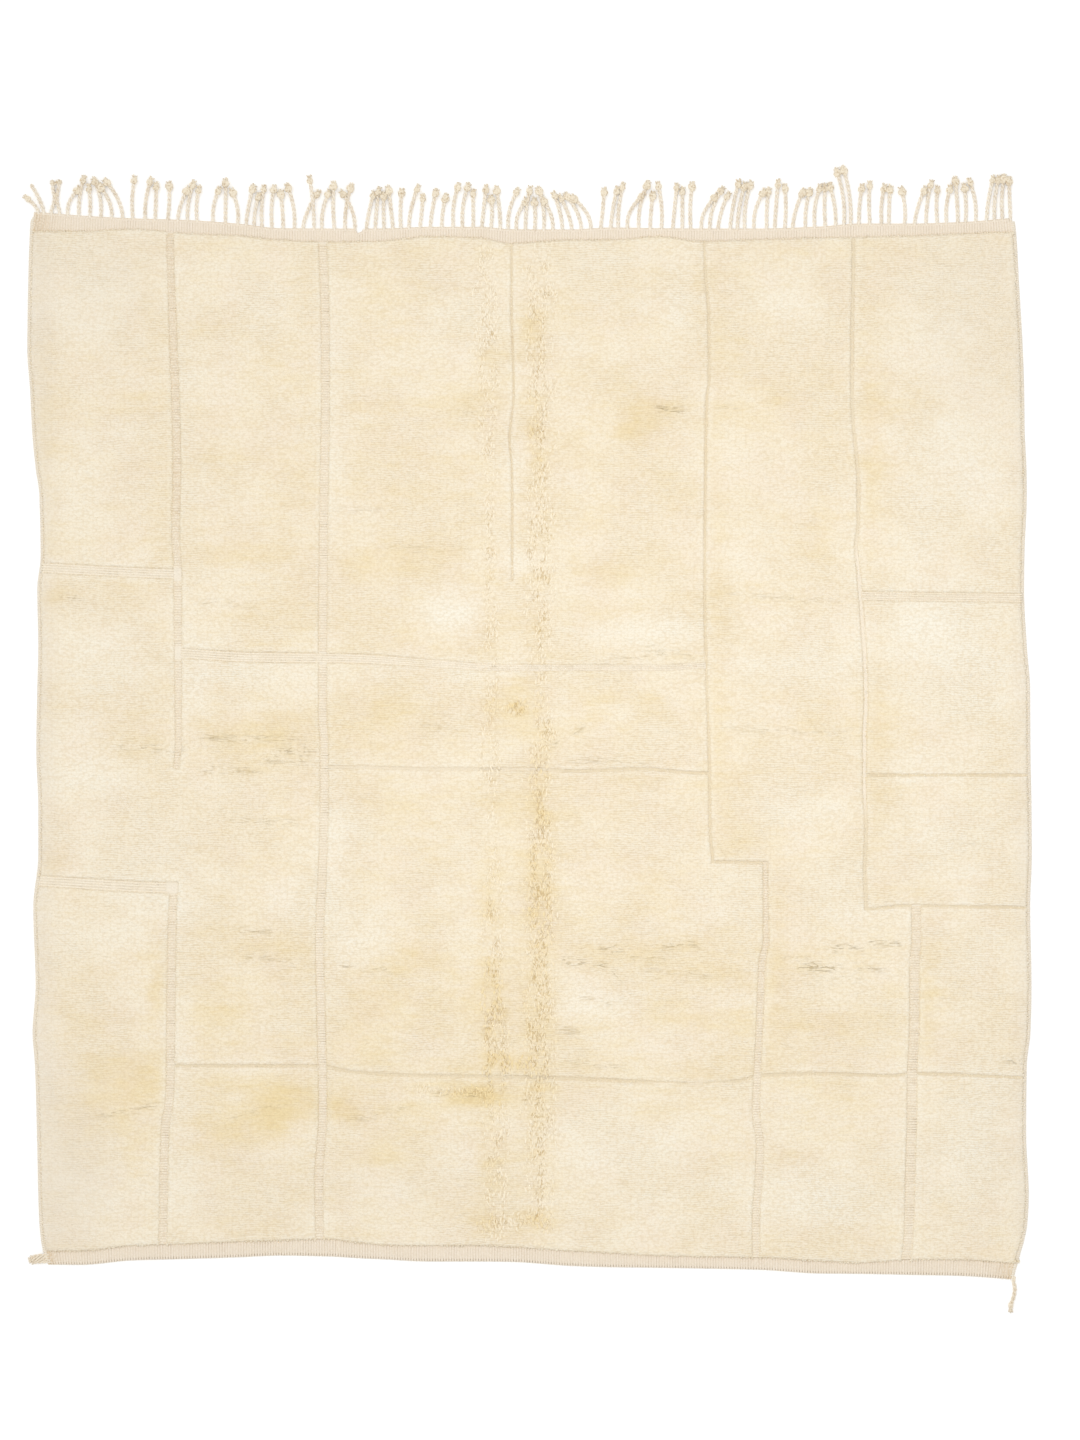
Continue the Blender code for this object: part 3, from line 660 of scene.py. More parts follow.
class Wool(Tree):
    """The finish of a new material of yarn, with its shader's steady values set."""

    def __init__(self, name, roughness, sheen):
        self.material = bpy.data.materials.new(name)
        self.material.use_nodes = True
        super().__init__(self.material.node_tree)
        self.shader = self.nodes["Principled BSDF"]
        set_values(self.shader, {
            "Roughness": roughness, "Sheen Weight": sheen, "Sheen Roughness": 0.45,
            "Specular IOR Level": 0.2,
        })
        self.place = self.node("ShaderNodeTexCoord", output="Object")

    def mark(self, name):
        """A mark of the mesh, such as its tone."""
        return self.node("ShaderNodeAttribute", {"attribute_name": name}, output="Fac")

    def part(self, axis):
        """One axis of the place."""
        return self.node("ShaderNodeSeparateXYZ", {}, [self.place], axis)

    def tint(self, share, first, second):
        """Mix two colours by a share."""
        values = {0: share, 6: first, 7: second}
        return self.node("ShaderNodeMix", {"data_type": "RGBA"}, values, output=2)

    def clamped(self, value):
        """Hold a value between 0 and 1."""
        return self.node("ShaderNodeClamp", {}, [value])

    def soft_step(self, value, low, high):
        """0 below low, 1 above high and soft between."""
        return self.share_of(value, low, high, "SMOOTHSTEP")

    def squeezed(self, size, place=None):
        """The place, or another, with each of its axes stretched or squeezed."""
        return self.node("ShaderNodeMapping", {}, {0: place or self.place, "Scale": size})

    def speckle(self, scale, detail=2.0, rough=0.5, place=None, distortion=0.0):
        """Noise around 0.5 at the place, or at another."""
        return self.node("ShaderNodeTexNoise", {}, {
            "Vector": place or self.place, "Scale": scale, "Detail": detail, "Roughness": rough,
            "Distortion": distortion,
        })

    def middle_lines(self, wave, thin):
        """Thin lines: 1 where a noise crosses its middle, 0 away from there."""
        return 1.0 - self.soft_step(abs(wave - 0.5), 0.0, thin)

    def strokes(self, turn, scale, thin):
        """Short thin strokes that run near the length of the rug, turned off it by an angle."""
        turned = self.node(
            "ShaderNodeMapping", {}, {0: self.place, "Rotation": (0.0, 0.0, turn)}
        )
        wave = self.speckle(scale, 1.0, place=self.squeezed((1.0, 0.24, 1.0), turned))
        broken = self.soft_step(self.speckle(75.0, 1.0, place=turned), 0.44, 0.56)
        return self.middle_lines(wave, thin) * broken

    def finished(self, colour, relief, strength):
        """Give the shader its colour and its relief, in metres."""
        self.put(colour, self.shader.inputs["Base Color"])
        values = {"Strength": strength, "Distance": 1.0, "Height": relief}
        self.put(self.node("ShaderNodeBump", {}, values), self.shader.inputs["Normal"])
        return self.material


PALE_WOOL = (0.947, 0.887, 0.752, 1.0)
CREAM_WOOL = (0.925, 0.827, 0.65, 1.0)
ROSY_WOOL = (0.915, 0.80, 0.66, 1.0)
GOLDEN_WOOL = (0.865, 0.707, 0.415, 1.0)
GAP_SHADE_WOOL = (0.65, 0.475, 0.24, 1.0)
CRACK_SHADE_WOOL = (0.45, 0.33, 0.15, 1.0)
PARTING_SHADE_WOOL = (0.55, 0.365, 0.13, 1.0)
FALLOFF_SHADE_WOOL = (0.80, 0.725, 0.62, 1.0)
GROUND_WOOL = (0.90, 0.815, 0.675, 1.0)
NARROW_FLOOR_SHADE_WOOL = (0.81, 0.705, 0.52, 1.0)
KNOT_SIZE = (96.0, 151.0, 125.0)
ROW_PITCH = 0.0066
STROKE_WIDTH = 0.066


def toned_wool(tree, tone_here):
    """Undyed wool by its tone: cream, rosy in places, golden or pale in others, with a painted
    highlight on the pile's crest.
    """
    colour = tree.tint(tree.share_of(tone_here, 0.0, 1.15), CREAM_WOOL, GOLDEN_WOOL)
    rosy = tree.soft_step(tree.speckle(7.0, 3.0, 0.6), 0.42, 0.7)
    colour = tree.tint(rosy * 0.4, colour, ROSY_WOOL)
    # Painted highlight: the pile's crest is painted paler.
    pale_and_highlight = tree.share_of(0.0 - tone_here, 0.0, 0.9) + tree.mark("crest") * 0.28
    return tree.tint(tree.clamped(pale_and_highlight), colour, PALE_WOOL)


def crack_shade_share(tree):
    """Where fold cracks show, in painted shade and a dip: fine creases round each, its slit, and a
    wrinkle on both sides.
    """
    wave = tree.speckle(85.0, 1.0, place=tree.squeezed((0.16, 1.0, 1.0)), distortion=0.5)
    creases = tree.middle_lines(wave, 0.05) * tree.mark("fold")
    creases = creases * tree.soft_step(tree.speckle(40.0, 1.0), 0.40, 0.52)
    off_line = abs(tree.mark("past"))
    slit = 1.0 - tree.soft_step(off_line, 0.0005, 0.0017)
    wrinkle = 1.0 - tree.soft_step(abs(off_line - 0.0095), 0.0002, 0.0018)
    broken = tree.soft_step(tree.speckle(55.0, 1.0), 0.40, 0.52)
    return tree.clamped(creases + (slit * 1.1 + wrinkle * 0.3) * tree.mark("slit") * broken)


def pile_finish():
    """The pile: knots in rows, fibres, and golden and pale places, with brown painted shade down
    the partings where it is ruffled, and painted shade between knots, rows and fibres, in fold
    cracks, towards the edges and on the floors of narrow grooves.
    """
    tree = Wool("wool_pile_finish", roughness=0.95, sheen=0.15)
    cells = {"Vector": tree.squeezed(KNOT_SIZE), "Scale": 1.0, "Randomness": 0.72}
    knots = tree.node("ShaderNodeTexVoronoi", {"feature": "F1"}, cells)
    fibre = tree.speckle(520.0, 3.0, 0.65, tree.squeezed((1.0, 0.6, 1.0)))
    rows_seen = tree.speckle(150.0, place=tree.squeezed((0.22, 1.0, 1.0)))
    patchy = tree.speckle(26.0, 4.0, 0.62, tree.squeezed((0.45, 1.0, 1.0)))
    streaks = tree.speckle(52.0, 3.0, 0.6, tree.squeezed((0.14, 1.0, 1.0)))
    tone_here = tree.mark("tone") + (patchy - 0.5) * 0.6 + (streaks - 0.5) * 0.45
    colour = toned_wool(tree, tone_here + (rows_seen - 0.5) * 0.85 + (fibre - 0.5) * 0.8)
    along = tree.part("Y") + tree.speckle(16.0) * 0.02
    rowed = (along * (2 * math.pi / ROW_PITCH)).sine() * 0.5 + 0.5
    rowed = rowed * tree.soft_step(tree.speckle(4.0), 0.38, 0.6)
    # Painted shade between the knots, between their rows and between fibres.
    between = tree.soft_step(knots, 0.35, 0.8) * 0.24 + tree.soft_step(fibre, 0.52, 0.78) * 0.23
    colour = tree.tint(tree.clamped(between + rowed * 0.22), colour, GAP_SHADE_WOOL)
    # Painted shade in the fold cracks, their creases and wrinkles.
    creases = crack_shade_share(tree)
    colour = tree.tint(creases * 0.58, colour, CRACK_SHADE_WOOL)
    # Brown painted shade down the partings of the ruffled pile.
    shaded_partings = tree.strokes(0.4, 105.0, STROKE_WIDTH) + tree.strokes(-0.34, 120.0, STROKE_WIDTH)
    shaded_partings = tree.clamped(shaded_partings * tree.share_of(tree.mark("ruffle"), 0.03, 0.6))
    colour = tree.tint(shaded_partings * 0.6, colour, PARTING_SHADE_WOOL)
    # Painted shade: darker towards the edges, where the light falls off.
    colour = tree.tint(tree.mark("dim") * 0.4, colour, FALLOFF_SHADE_WOOL)
    level = tree.part("Z")
    # Painted shade on the floors of narrow grooves, where the pile closes over them.
    narrow_floor_shade = tree.soft_step(level, 0.0104, 0.0109) - tree.soft_step(level, 0.0114, 0.0118)
    colour = tree.tint(tree.mark("weave"), colour, tree.tint(narrow_floor_shade, GROUND_WOOL, NARROW_FLOOR_SHADE_WOOL))
    relief = (1.0 - knots) * 0.0030 + fibre * 0.0020 + rows_seen * 0.0022 - rowed * 0.0006
    return tree.finished(colour, relief - creases * 0.0025 - shaded_partings * 0.0015, 0.75)


def mesh_of(name, places, faces=(), edges=(), marks=()):
    """A mesh from places in millimetres, with a value of every mark at each of them."""
    mesh = bpy.data.meshes.new(name)
    mesh.from_pydata((np.array(places) * MM).tolist(), edges, faces)
    for mark, values in dict(marks).items():
        values = np.array(values, np.float32)
        kind, field = ("FLOAT", "value") if values.ndim == 1 else ("FLOAT_VECTOR", "vector")
        mesh.attributes.new(mark, kind, "POINT").data.foreach_set(field, values.ravel())
    return mesh


def net_part(name, squares, marks):
    """The mesh of some squares of the net, with its marks."""
    used = np.zeros(net_x.shape, bool)
    for i, j in squares:
        used[i:i + 2, j:j + 2] = True
    index = np.full(net_x.shape, -1)
    index[used] = np.arange(used.sum())
    faces = [
        (index[i, j], index[i + 1, j], index[i + 1, j + 1], index[i, j + 1]) for i, j in squares
    ]
    values_used = {mark: values[used] for mark, values in marks.items()}
    return mesh_of(name, net_places[used], faces, marks=values_used)


def placed(name, data):
    """A new object in the scene."""
    made = bpy.data.objects.new(name, data)
    bpy.context.scene.collection.objects.link(made)
    return made


def add_piece(mesh, node=None):
    """Put a finished mesh in the scene as a piece of the rug, in place of a node of the CAD."""
    piece = placed(mesh.name, mesh)
    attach(piece, "root")
    if node:
        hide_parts(node)
    return piece


def panel_mesh(name, number):
    """One panel of the cloth, closed with walls down to the floor and a flat underside."""
    mesh = net_part(name, np.argwhere(panel_number == number), net_marks)
    bm = bmesh.new()
    bm.from_mesh(mesh)
    rim = [edge for edge in bm.edges if edge.is_boundary]
    walls = bmesh.ops.extrude_edge_only(bm, edges=rim)["geom"]
    weave = bm.verts.layers.float["weave"]
    for point in walls:
        if isinstance(point, bmesh.types.BMVert):
            point.co.z = 0.0
            point[weave] = 1.0
    bmesh.ops.holes_fill(bm, edges=[edge for edge in bm.edges if edge.is_boundary], sides=0)
    bmesh.ops.recalc_face_normals(bm, faces=bm.faces)
    bm.to_mesh(mesh)
    bm.free()
    mesh.shade_smooth()
    mesh.set_sharp_from_angle(angle=math.radians(50))
    mesh.materials.append(pile_wool)
    return mesh


pile_wool = pile_finish()
for number, name in enumerate(("cloth_left", "cloth_middle", "cloth_inner_right", "cloth_right")):
    panel = add_piece(panel_mesh(name, number), "rug_body")


# ---------------------------------------------------------------------------------------------
# The ribs of the flat weave. Weft packed over bundles of warp makes low rounded ribs: along the
# rug in both end bands, short ones across the floors of the wide lengthwise grooves, and long
# ones down the wide crosswise grooves. They are part of the cloth and lie on its ground.

# Ribs lie at a pitch that they fill or overlap by a share, and are tucked under what they meet.
# The bands' ribs lean with the side edges, less the farther off they are.
BAND_REACH = 1520
BAND_PITCH = 8.1
BAND_TUCK = 1.5
BAND_LAP = 2.0
BAND_FILL = 1.02
FRINGE_MARGIN = 2.4
HEM_MARGIN = 0.5
SIDE_MARGIN = 4
CROSS_PITCH = 7.8
CROSS_FILL = 0.96
CROSS_TUCK = 1
LONG_PIECE = 21.0
LONG_LAP = 1.12
LONG_FILL = 0.97
RIB_HEIGHT = 1.8
RIB_BASE = 5.5
GROOVE_RIB_BASE = 9.8
CROSSING_MARGIN = 3.0
RIBBED_WIDTH = 12.0
PAST_EDGES = 1600
LEAN_FADE = 90
LEAN_SPAN = 30
QUARTER = math.pi / 2

# A rib's shape: at each place along it the share of its width and height, and its section.
RIB_RINGS = (
    (0.0, 0.85, 0.5), (0.05, 1.0, 0.95), (0.5, 1.0, 1.0), (0.95, 1.0, 0.95), (1.0, 0.85, 0.5),
)
RIB_SECTION = ((-0.5, 0.0), (-0.28, 0.84), (0.28, 0.84), (0.5, 0.0))

RIB_WOOL = (0.90, 0.812, 0.70, 1.0)
RIB_SHADE = (0.76, 0.65, 0.50, 1.0)
GROOVE_RIB_WOOL = (0.94, 0.87, 0.74, 1.0)
GROOVE_RIB_SHADE = (0.79, 0.675, 0.49, 1.0)
WORN_WOOL = (0.66, 0.50, 0.30, 1.0)

# The long ribs of the crosswise grooves: how many lie side by side between two places along.
LongRibs = namedtuple("LongRibs", "course ribs low high")
LONG_RIBS = [LongRibs(*row) for row in (
    ("first", 4, -1459, -1064), ("first", 4, 1001, 1482), ("second", 4, -1041, -260),
    ("second", 3, -260, 528), ("fourth", 4, -1463, -1086),
)]

# How worn and brown the ribs of each groove are: places along it, and the share there.
WORN = {
    "far_left": ((-520, 0.24), (-420, 0.19), (500, 0.2), (640, 0.34)),
    "left": ((-1050, 0.24), (-900, 0.18), (500, 0.18), (600, 0.22)),
    "lower_right": ((-1050, 0.2), (-950, 0.28)), "far_right": ((-1050, 0.22), (-950, 0.28)),
    "first": ((-1050, 0.12), (1000, 0.18)), "second": ((-600, 0.12), (-300, 0.1), (-150, 0.18)),
    "fourth": ((-1450, 0.12), (-1060, 0.13)),
}


def loft(name, rings, smooth=True, closed=False):
    """Skin a row of rings of points: into a loop if it is closed, and otherwise with two ends."""
    bm = bmesh.new()
    rings = [[bm.verts.new(point) for point in ring] for ring in rings]
    following = rings[1:] + (rings[:1] if closed else [])
    for near, far in zip(rings, following):
        for k in range(len(near)):
            bm.faces.new((near[k - 1], near[k], far[k], far[k - 1]))
    if not closed:
        bm.faces.new(rings[0])
        bm.faces.new(rings[-1])
    bmesh.ops.recalc_face_normals(bm, faces=bm.faces)
    mesh = bpy.data.meshes.new(name)
    bm.to_mesh(mesh)
    bm.free()
    if smooth:
        mesh.shade_smooth()
    return mesh


def shape_to_copy(name, rings, closed=False):
    """A shape for Geometry Nodes to copy, kept out of the scene."""
    return bpy.data.objects.new(name, loft(name, rings, closed=closed))


class Growth(Tree):
    """Geometry Nodes with named inputs, which end in real geometry of one material."""

    def __init__(self, name, shapes=(), sizes=()):
        self.group = bpy.data.node_groups.new(name, "GeometryNodeTree")
        inputs = [("Geometry", "Geometry")] + [(label, "Object") for label in shapes]
        inputs += [(label, "Float") for label in sizes]
        inputs += [("Seed", "Int"), ("Material", "Material")]
        for label, kind in inputs:
            self.socket(label, "INPUT", kind)
        self.socket("Geometry", "OUTPUT", "Geometry")
        super().__init__(self.group)
        self.inputs = self.node("NodeGroupInput")

    def socket(self, label, way, kind):
        self.group.interface.new_socket(name=label, in_out=way, socket_type="NodeSocket" + kind)

    def asked(self, label):
        """What an input of the tree holds."""
        return self.inputs.also(label)

    def vector(self, operation, first, second):
        """A Vector Math node."""
        return self.node("ShaderNodeVectorMath", {"operation": operation}, [first, second])

    def scaled(self, vector, factor):
        """A vector made longer or shorter."""
        values = {0: vector, "Scale": factor}
        return self.node("ShaderNodeVectorMath", {"operation": "SCALE"}, values)

    def stored(self, name, kind="FLOAT"):
        """A mark stored on the geometry."""
        return self.node("GeometryNodeInputNamedAttribute", {"data_type": kind}, {"Name": name})

    def random(self, low, high, offset):
        """A random number for every copy, or a random vector between two vectors."""
        seed = {"Seed": self.asked("Seed") + offset}
        if isinstance(low, tuple):
            values = {0: low, 1: high, **seed}
            return self.node("FunctionNodeRandomValue", {"data_type": "FLOAT_VECTOR"}, values)
        values = {2: low, 3: high, **seed}
        return self.node("FunctionNodeRandomValue", {"data_type": "FLOAT"}, values, 1)

    def copies(self, points, shape, turn, size):
        """Copies of the shape of an input at points."""
        shape = self.node("GeometryNodeObjectInfo", {}, {"Object": self.asked(shape)}, "Geometry")
        return self.node("GeometryNodeInstanceOnPoints", {}, {
            "Points": points, "Instance": shape, "Scale": size,
            "Rotation": self.node("FunctionNodeEulerToRotation", {}, {"Euler": turn}),
        })

    def finished(self, geometry):
        """End the tree: real geometry, with the material asked for."""
        real = self.node("GeometryNodeRealizeInstances", {}, {"Geometry": geometry})
        values = {"Geometry": real, "Material": self.asked("Material")}
        painted = self.node("GeometryNodeSetMaterial", {}, values)
        self.node("NodeGroupOutput", {}, {"Geometry": painted})
        return self.group


def laying_tree(name):
    """Geometry Nodes that lay a copy of one shape at every point, by its own size and turn."""
    tree = Growth(name, shapes=["Shape"], sizes=["Unevenness"])
    unevenness = tree.asked("Unevenness")
    uneven_turn = tree.scaled(tree.random((-0.6, -0.4, -1.0), (0.6, 0.4, 1.0), 1), unevenness)
    turn = tree.vector("ADD", tree.stored("turn", "FLOAT_VECTOR"), uneven_turn)
    uneven_size = tree.scaled(tree.random((-1.0, -0.5, -1.0), (1.0, 0.5, 1.0), 2), unevenness)
    growth = tree.vector("ADD", uneven_size, (1, 1, 1))
    size = tree.vector("MULTIPLY", tree.stored("size", "FLOAT_VECTOR"), growth)
    return tree.finished(tree.copies(tree.asked("Geometry"), "Shape", turn, size))


def grown(name, mesh, group, inputs):
    """Run a Geometry Nodes tree over a mesh and give back the plain mesh that it makes."""
    seedling = placed(name + "_points", mesh)
    modifier = seedling.modifiers.new("grow", "NODES")
    modifier.node_group = group
    for item in group.interface.items_tree:
        if item.in_out == "INPUT" and item.name in inputs:
            modifier[item.identifier] = inputs[item.name]
    bpy.context.view_layer.update()
    ready = seedling.evaluated_get(bpy.context.evaluated_depsgraph_get())
    made = bpy.data.meshes.new_from_object(ready)
    made.name = name
    seedling.modifiers.clear()
    bpy.data.objects.remove(seedling)
    return made


# Where a copy lies, its size, and its turn: about the upright axis, or about all three.
Spot = namedtuple("Spot", "place size turn")
lay_copies = laying_tree("lay_copies")


def laid(name, spots, shape, material, unevenness, seed, marks=()):
    """Copies of a shape at spots, each with its own value of every mark."""
    places = [spot.place for spot in spots]
    sizes = np.array([spot.size for spot in spots]) * MM
    turns = [spot.turn if isinstance(spot.turn, tuple) else (0, 0, spot.turn) for spot in spots]
    marks = {"size": sizes, "turn": turns, **dict(marks)}
    inputs = {"Shape": shape, "Unevenness": unevenness, "Seed": seed, "Material": material}
    return grown(name, mesh_of(name + "_spots", places, marks=marks), lay_copies, inputs)


def floor_spans(name):
    """The stretches of a course that are grooves, as limits along it inside the pile's edges."""
    course = courses[name]

    def limit(end, side):
        if end not in courses:
            return side * PAST_EDGES
        across = courses[end].middle(course.middle(0.0))
        across = courses[end].middle(course.middle(across))
        return across + side * courses[end].width(course.middle(across)) / 2
    spans = []
    for groove in GROOVES:
        if groove.course == name:
            low = limit(groove.start, -1)
            high = limit(groove.stop, 1)
            if name in LENGTHWISE:
                low = max(low, pile_foot(course.middle(low)))
                high = min(high, pile_top(course.middle(high)))
            else:
                low = max(low, left_edge(course.middle(low)) + SIDE_EDGE)
                high = min(high, right_edge(course.middle(high)) - SIDE_EDGE)
            spans.append((low, high))
    return spans


def on_crosswise_floor(x, y):
    """Whether a place lies on the floor of a wide crosswise groove."""
    for groove in GROOVES:
        if groove.course in ("first", "second", "fourth"):
            away, width = past_groove(groove, x, y)
            if away < CROSSING_MARGIN and width > RIBBED_WIDTH:
                return True
    return False


def slope_of(edge, y):
    """How much a side edge leans at a place up it."""
    return (edge(y + LEAN_SPAN) - edge(y - LEAN_SPAN)) / (2 * LEAN_SPAN)


band_spots = []
for step in range(int(2 * BAND_REACH / BAND_PITCH)):
    x = -BAND_REACH + BAND_PITCH * step
    upper_band = (pile_top(x), fringe_line(x) - FRINGE_MARGIN)
    lower_band = (hem(x) + HEM_MARGIN, pile_foot(x))
    for start, stop in (upper_band, lower_band):
        middle = (start + stop) / 2
        left = left_edge(middle)
        right = right_edge(middle)
        if left + SIDE_MARGIN < x < right - SIDE_MARGIN:
            lean = slope_of(left_edge, middle) * math.exp((left - x) / LEAN_FADE)
            lean += slope_of(right_edge, middle) * math.exp((x - right) / LEAN_FADE)
            band_spots.append(Spot(
                (x - lean * (stop - start) / 2, start - BAND_TUCK, RIB_BASE),
                (BAND_PITCH * BAND_FILL, stop - start + BAND_LAP, RIB_HEIGHT), -lean,
            ))

groove_spots = []
rib_grooves = []
for name in ("far_left", "left", "lower_right", "far_right"):
    for low, high in floor_spans(name):
        for step in range(int((high - low) / CROSS_PITCH)):
            y = low + CROSS_PITCH * (step + 0.5)
            middle = courses[name].middle(y)
            width = courses[name].width(y)
            if not on_crosswise_floor(middle, y):
                groove_spots.append(Spot(
                    (middle - width / 2 - CROSS_TUCK, y, GROOVE_RIB_BASE),
                    (CROSS_PITCH * CROSS_FILL, width + 2 * CROSS_TUCK, RIB_HEIGHT), -QUARTER,
                ))
                rib_grooves.append(name)
for name, ribs, low, high in LONG_RIBS:
    course = courses[name]
    count = round((high - low) / LONG_PIECE)
    piece = (high - low) / count
    for step in range(count):
        x = low + piece * step
        start = course.middle(x)
        slope = (course.middle(x + piece) - start) / piece
        pitch = course.width(x) / ribs
        for rib in range(ribs):
            across = (rib - (ribs - 1) / 2) * pitch
            groove_spots.append(Spot(
                (x, start + across, GROOVE_RIB_BASE + filled(name, x)),
                (pitch * LONG_FILL, piece * LONG_LAP, RIB_HEIGHT), math.atan(slope) - QUARTER,
            ))
            rib_grooves.append(name)


def rib_finish(name, colour, shade, beads, foot=0.0060, between=0.35):
    """Yarn packed over the ribs: fine beads across them, painted shade low down where they
    meet, and brown if worn.
    """
    tree = Wool(name, roughness=0.92, sheen=0.1)
    # Painted shade: darker low down, between the ribs and at their feet.
    low = 1.0 - tree.soft_step(tree.part("Z"), foot, foot + 0.0013)
    beads = tree.speckle(1.0, 2.0, 0.6, tree.squeezed(beads))
    shaded = tree.soft_step(beads, 0.35, 0.7) * 0.45 + low * between
    tinted = tree.tint(shaded, colour, shade)
    tinted = tree.tint((tree.speckle(14.0, 3.0) - 0.4) * 0.5, tinted, shade)
    worn = tree.soft_step(tree.speckle(170.0, 1.0), 0.4, 0.6) * 0.9 + 0.55
    tinted = tree.tint(tree.mark("worn") * worn, tinted, WORN_WOOL)
    return tree.finished(tinted, beads * 0.0014, 0.6)


def worn_by(x, worn_place, reach):
    """How much wear spreads from a place along a band."""
    return math.exp(-((x - worn_place) / reach) ** 2)


band_worn = []
for spot in band_spots:
    x, y, _ = spot.place
    if y > 0:
        band_worn.append(0.35 * worn_by(x, -1480, 50) + 0.08)
    else:
        band_worn.append(0.6 * worn_by(x, -1450, 30) + 0.5 * worn_by(x, 1480, 60) + 0.12)
groove_worn = []
for number, (name, spot) in enumerate(zip(rib_grooves, groove_spots)):
    along = spot.place[1] if name in LENGTHWISE else spot.place[0]
    share = np.interp(along, *zip(*WORN[name]))
    groove_worn.append(share * (1 + 0.2 * math.sin(1.3 * number)))

rib_shape = shape_to_copy("rib_shape", [
    [(across * wide, along, up * tall) for across, up in RIB_SECTION]
    for along, wide, tall in RIB_RINGS
])
band_wool = rib_finish("band_rib_finish", RIB_WOOL, RIB_SHADE, beads=(230.0, 520.0, 230.0))
groove_wool = rib_finish(
    "groove_rib_finish", GROOVE_RIB_WOOL, GROOVE_RIB_SHADE, beads=(300.0, 300.0, 230.0),
    foot=0.0102, between=0.22,
)
for mesh in (
    laid("end_band_ribs", band_spots, rib_shape, band_wool, 0.012, 11, {"worn": band_worn}),
    laid("groove_ribs", groove_spots, rib_shape, groove_wool, 0.03, 12, {"worn": groove_worn}),
):
    add_piece(mesh)


# ---------------------------------------------------------------------------------------------
# The side edges. The last warps down each side are bound with the weft that turns back round
# them, which leaves a plain, slightly darker edge of short wraps outside the pile.

WRAP_PITCH = 6.6
WRAP_LENGTH = 12.0
WRAP_HEIGHT = 4.2
WRAP_BASE = 3.6
WRAP_FILL = 0.98
WRAP_OUT = 0.8
HEM_CLEAR = 4
STRIP_CLEAR = 3
EDGE_WOOL = (0.89, 0.82, 0.70, 1.0)
EDGE_SHADE = (0.76, 0.68, 0.56, 1.0)

wrap_spots = []
for side, edge in ((1, left_edge), (-1, right_edge)):
    for step in range(int(2 * PAST_EDGES / WRAP_PITCH)):
        y = -PAST_EDGES + WRAP_PITCH * step
        x = edge(y)
        if hem(x) + HEM_CLEAR < y < fringe_line(x) - STRIP_DEPTH - STRIP_CLEAR:
            wrap_spots.append(Spot(
                (x - side * WRAP_OUT, y, WRAP_BASE),
                (WRAP_PITCH * WRAP_FILL, WRAP_LENGTH, WRAP_HEIGHT), -side * QUARTER,
            ))
edge_wool = rib_finish("side_edge_finish", EDGE_WOOL, EDGE_SHADE, beads=(520.0, 230.0, 230.0))
add_piece(laid("side_edges", wrap_spots, rib_shape, edge_wool, 0.03, 13))


# ---------------------------------------------------------------------------------------------
# The pile's rims. Along the grooves, bands and side edges the last knots have no neighbour and
# lean out over the flat weave, so every rim is an uneven row of small rounded tufts of pile wool.

RIM_STEP = 8.4
RIM_END = 1500
CLEAR_OF_GROOVES = 1.5

# How unevenly the tufts lie: along the rim, back from it, in width, length and height, and turned.
JITTER = 2
SETBACKS = (-3.0, 1.6)
WIDTHS = (0.8, 1.3)
LENGTHS = (0.7, 1.3)
HEIGHTS = (0.9, 1.06)
MOST_TURN = 0.35

# A tuft's shape: at each place along it half its width, its foot and its top, and its section.
TuftRing = namedtuple("TuftRing", "along half_width foot top")
RIM_RINGS = (
    TuftRing(-6.0, 4.3, 3.0, 15.0), TuftRing(-1.0, 4.4, 3.5, 14.0), TuftRing(3.0, 2.2, 5.5, 10.0),
)
RIM_SECTION = ((-1.0, 0.0), (1.0, 0.0), (0.8, 0.75), (0.0, 1.0), (-0.8, 0.75))


def tuft_rings(rings, section, unit=1.0):
    """The rings of points of a tuft's shape."""
    return [
        [
            Vector((ring.half_width * across, ring.along, ring.foot + (ring.top - ring.foot) * up))
            * unit for across, up in section
        ]
        for ring in rings
    ]


chance = np.random.default_rng(61)
rim_spots = []


def rim_places(low, high):
    """Places along a rim, a little unevenly apart."""
    places = np.arange(low, high, RIM_STEP)
    return places + chance.uniform(-JITTER, JITTER, len(places))


def add_rim(xs, ys, turn, out, own=None):
    """Tufts along one rim, left out where another groove's floor runs through it."""
    clear = np.ones(xs.shape, bool)
    for groove in GROOVES:
        if groove.course != own:
            clear &= past_groove(groove, xs, ys)[0] > CLEAR_OF_GROOVES
    tufts = [chance.uniform(*limits, xs.shape) for limits in (SETBACKS, WIDTHS, LENGTHS)]
    for x, y, back, width, length in np.stack((xs, ys, *tufts), axis=-1)[clear]:
        rim_spots.append(Spot(
            (x + out[0] * back, y + out[1] * back, 0.0),
            (width, length, chance.uniform(*HEIGHTS)),
            turn + chance.uniform(-MOST_TURN, MOST_TURN),
        ))


for name, course in courses.items():
    for low, high in floor_spans(name):
        along = rim_places(low, high)
        for side in (-1, 1):
            across = course.middle(along) + side * course.width(along) / 2
            if name in LENGTHWISE:
                add_rim(across, along, side * QUARTER, (-side, 0), name)
            else:
                add_rim(along, across, 0.0 if side < 0 else math.pi, (0, -side), name)
along = rim_places(-RIM_END, RIM_END)
for side, end, turn in ((1, pile_top, 0.0), (-1, pile_foot, math.pi)):
    left = left_edge(side * RIM_END) + SIDE_EDGE
    right = right_edge(side * RIM_END) - SIDE_EDGE
    inside = along[(along > left) & (along < right)]
    add_rim(inside, end(inside), turn, (0, side))
for side, edge in ((1, left_edge), (-1, right_edge)):
    add_rim(edge(along) + side * SIDE_EDGE, along, side * QUARTER, (-side, 0))

rim_shape = shape_to_copy("rim_shape", tuft_rings(RIM_RINGS, RIM_SECTION))
rim_x, rim_y, _ = np.array([spot.place for spot in rim_spots]).T
# The rims take the crest's painted highlight all over.
rim_marks = {"tone": tone_at(rim_x, rim_y), "crest": np.ones(len(rim_x))}
add_piece(laid("pile_rims", rim_spots, rim_shape, pile_wool, 0.0, 14, rim_marks))
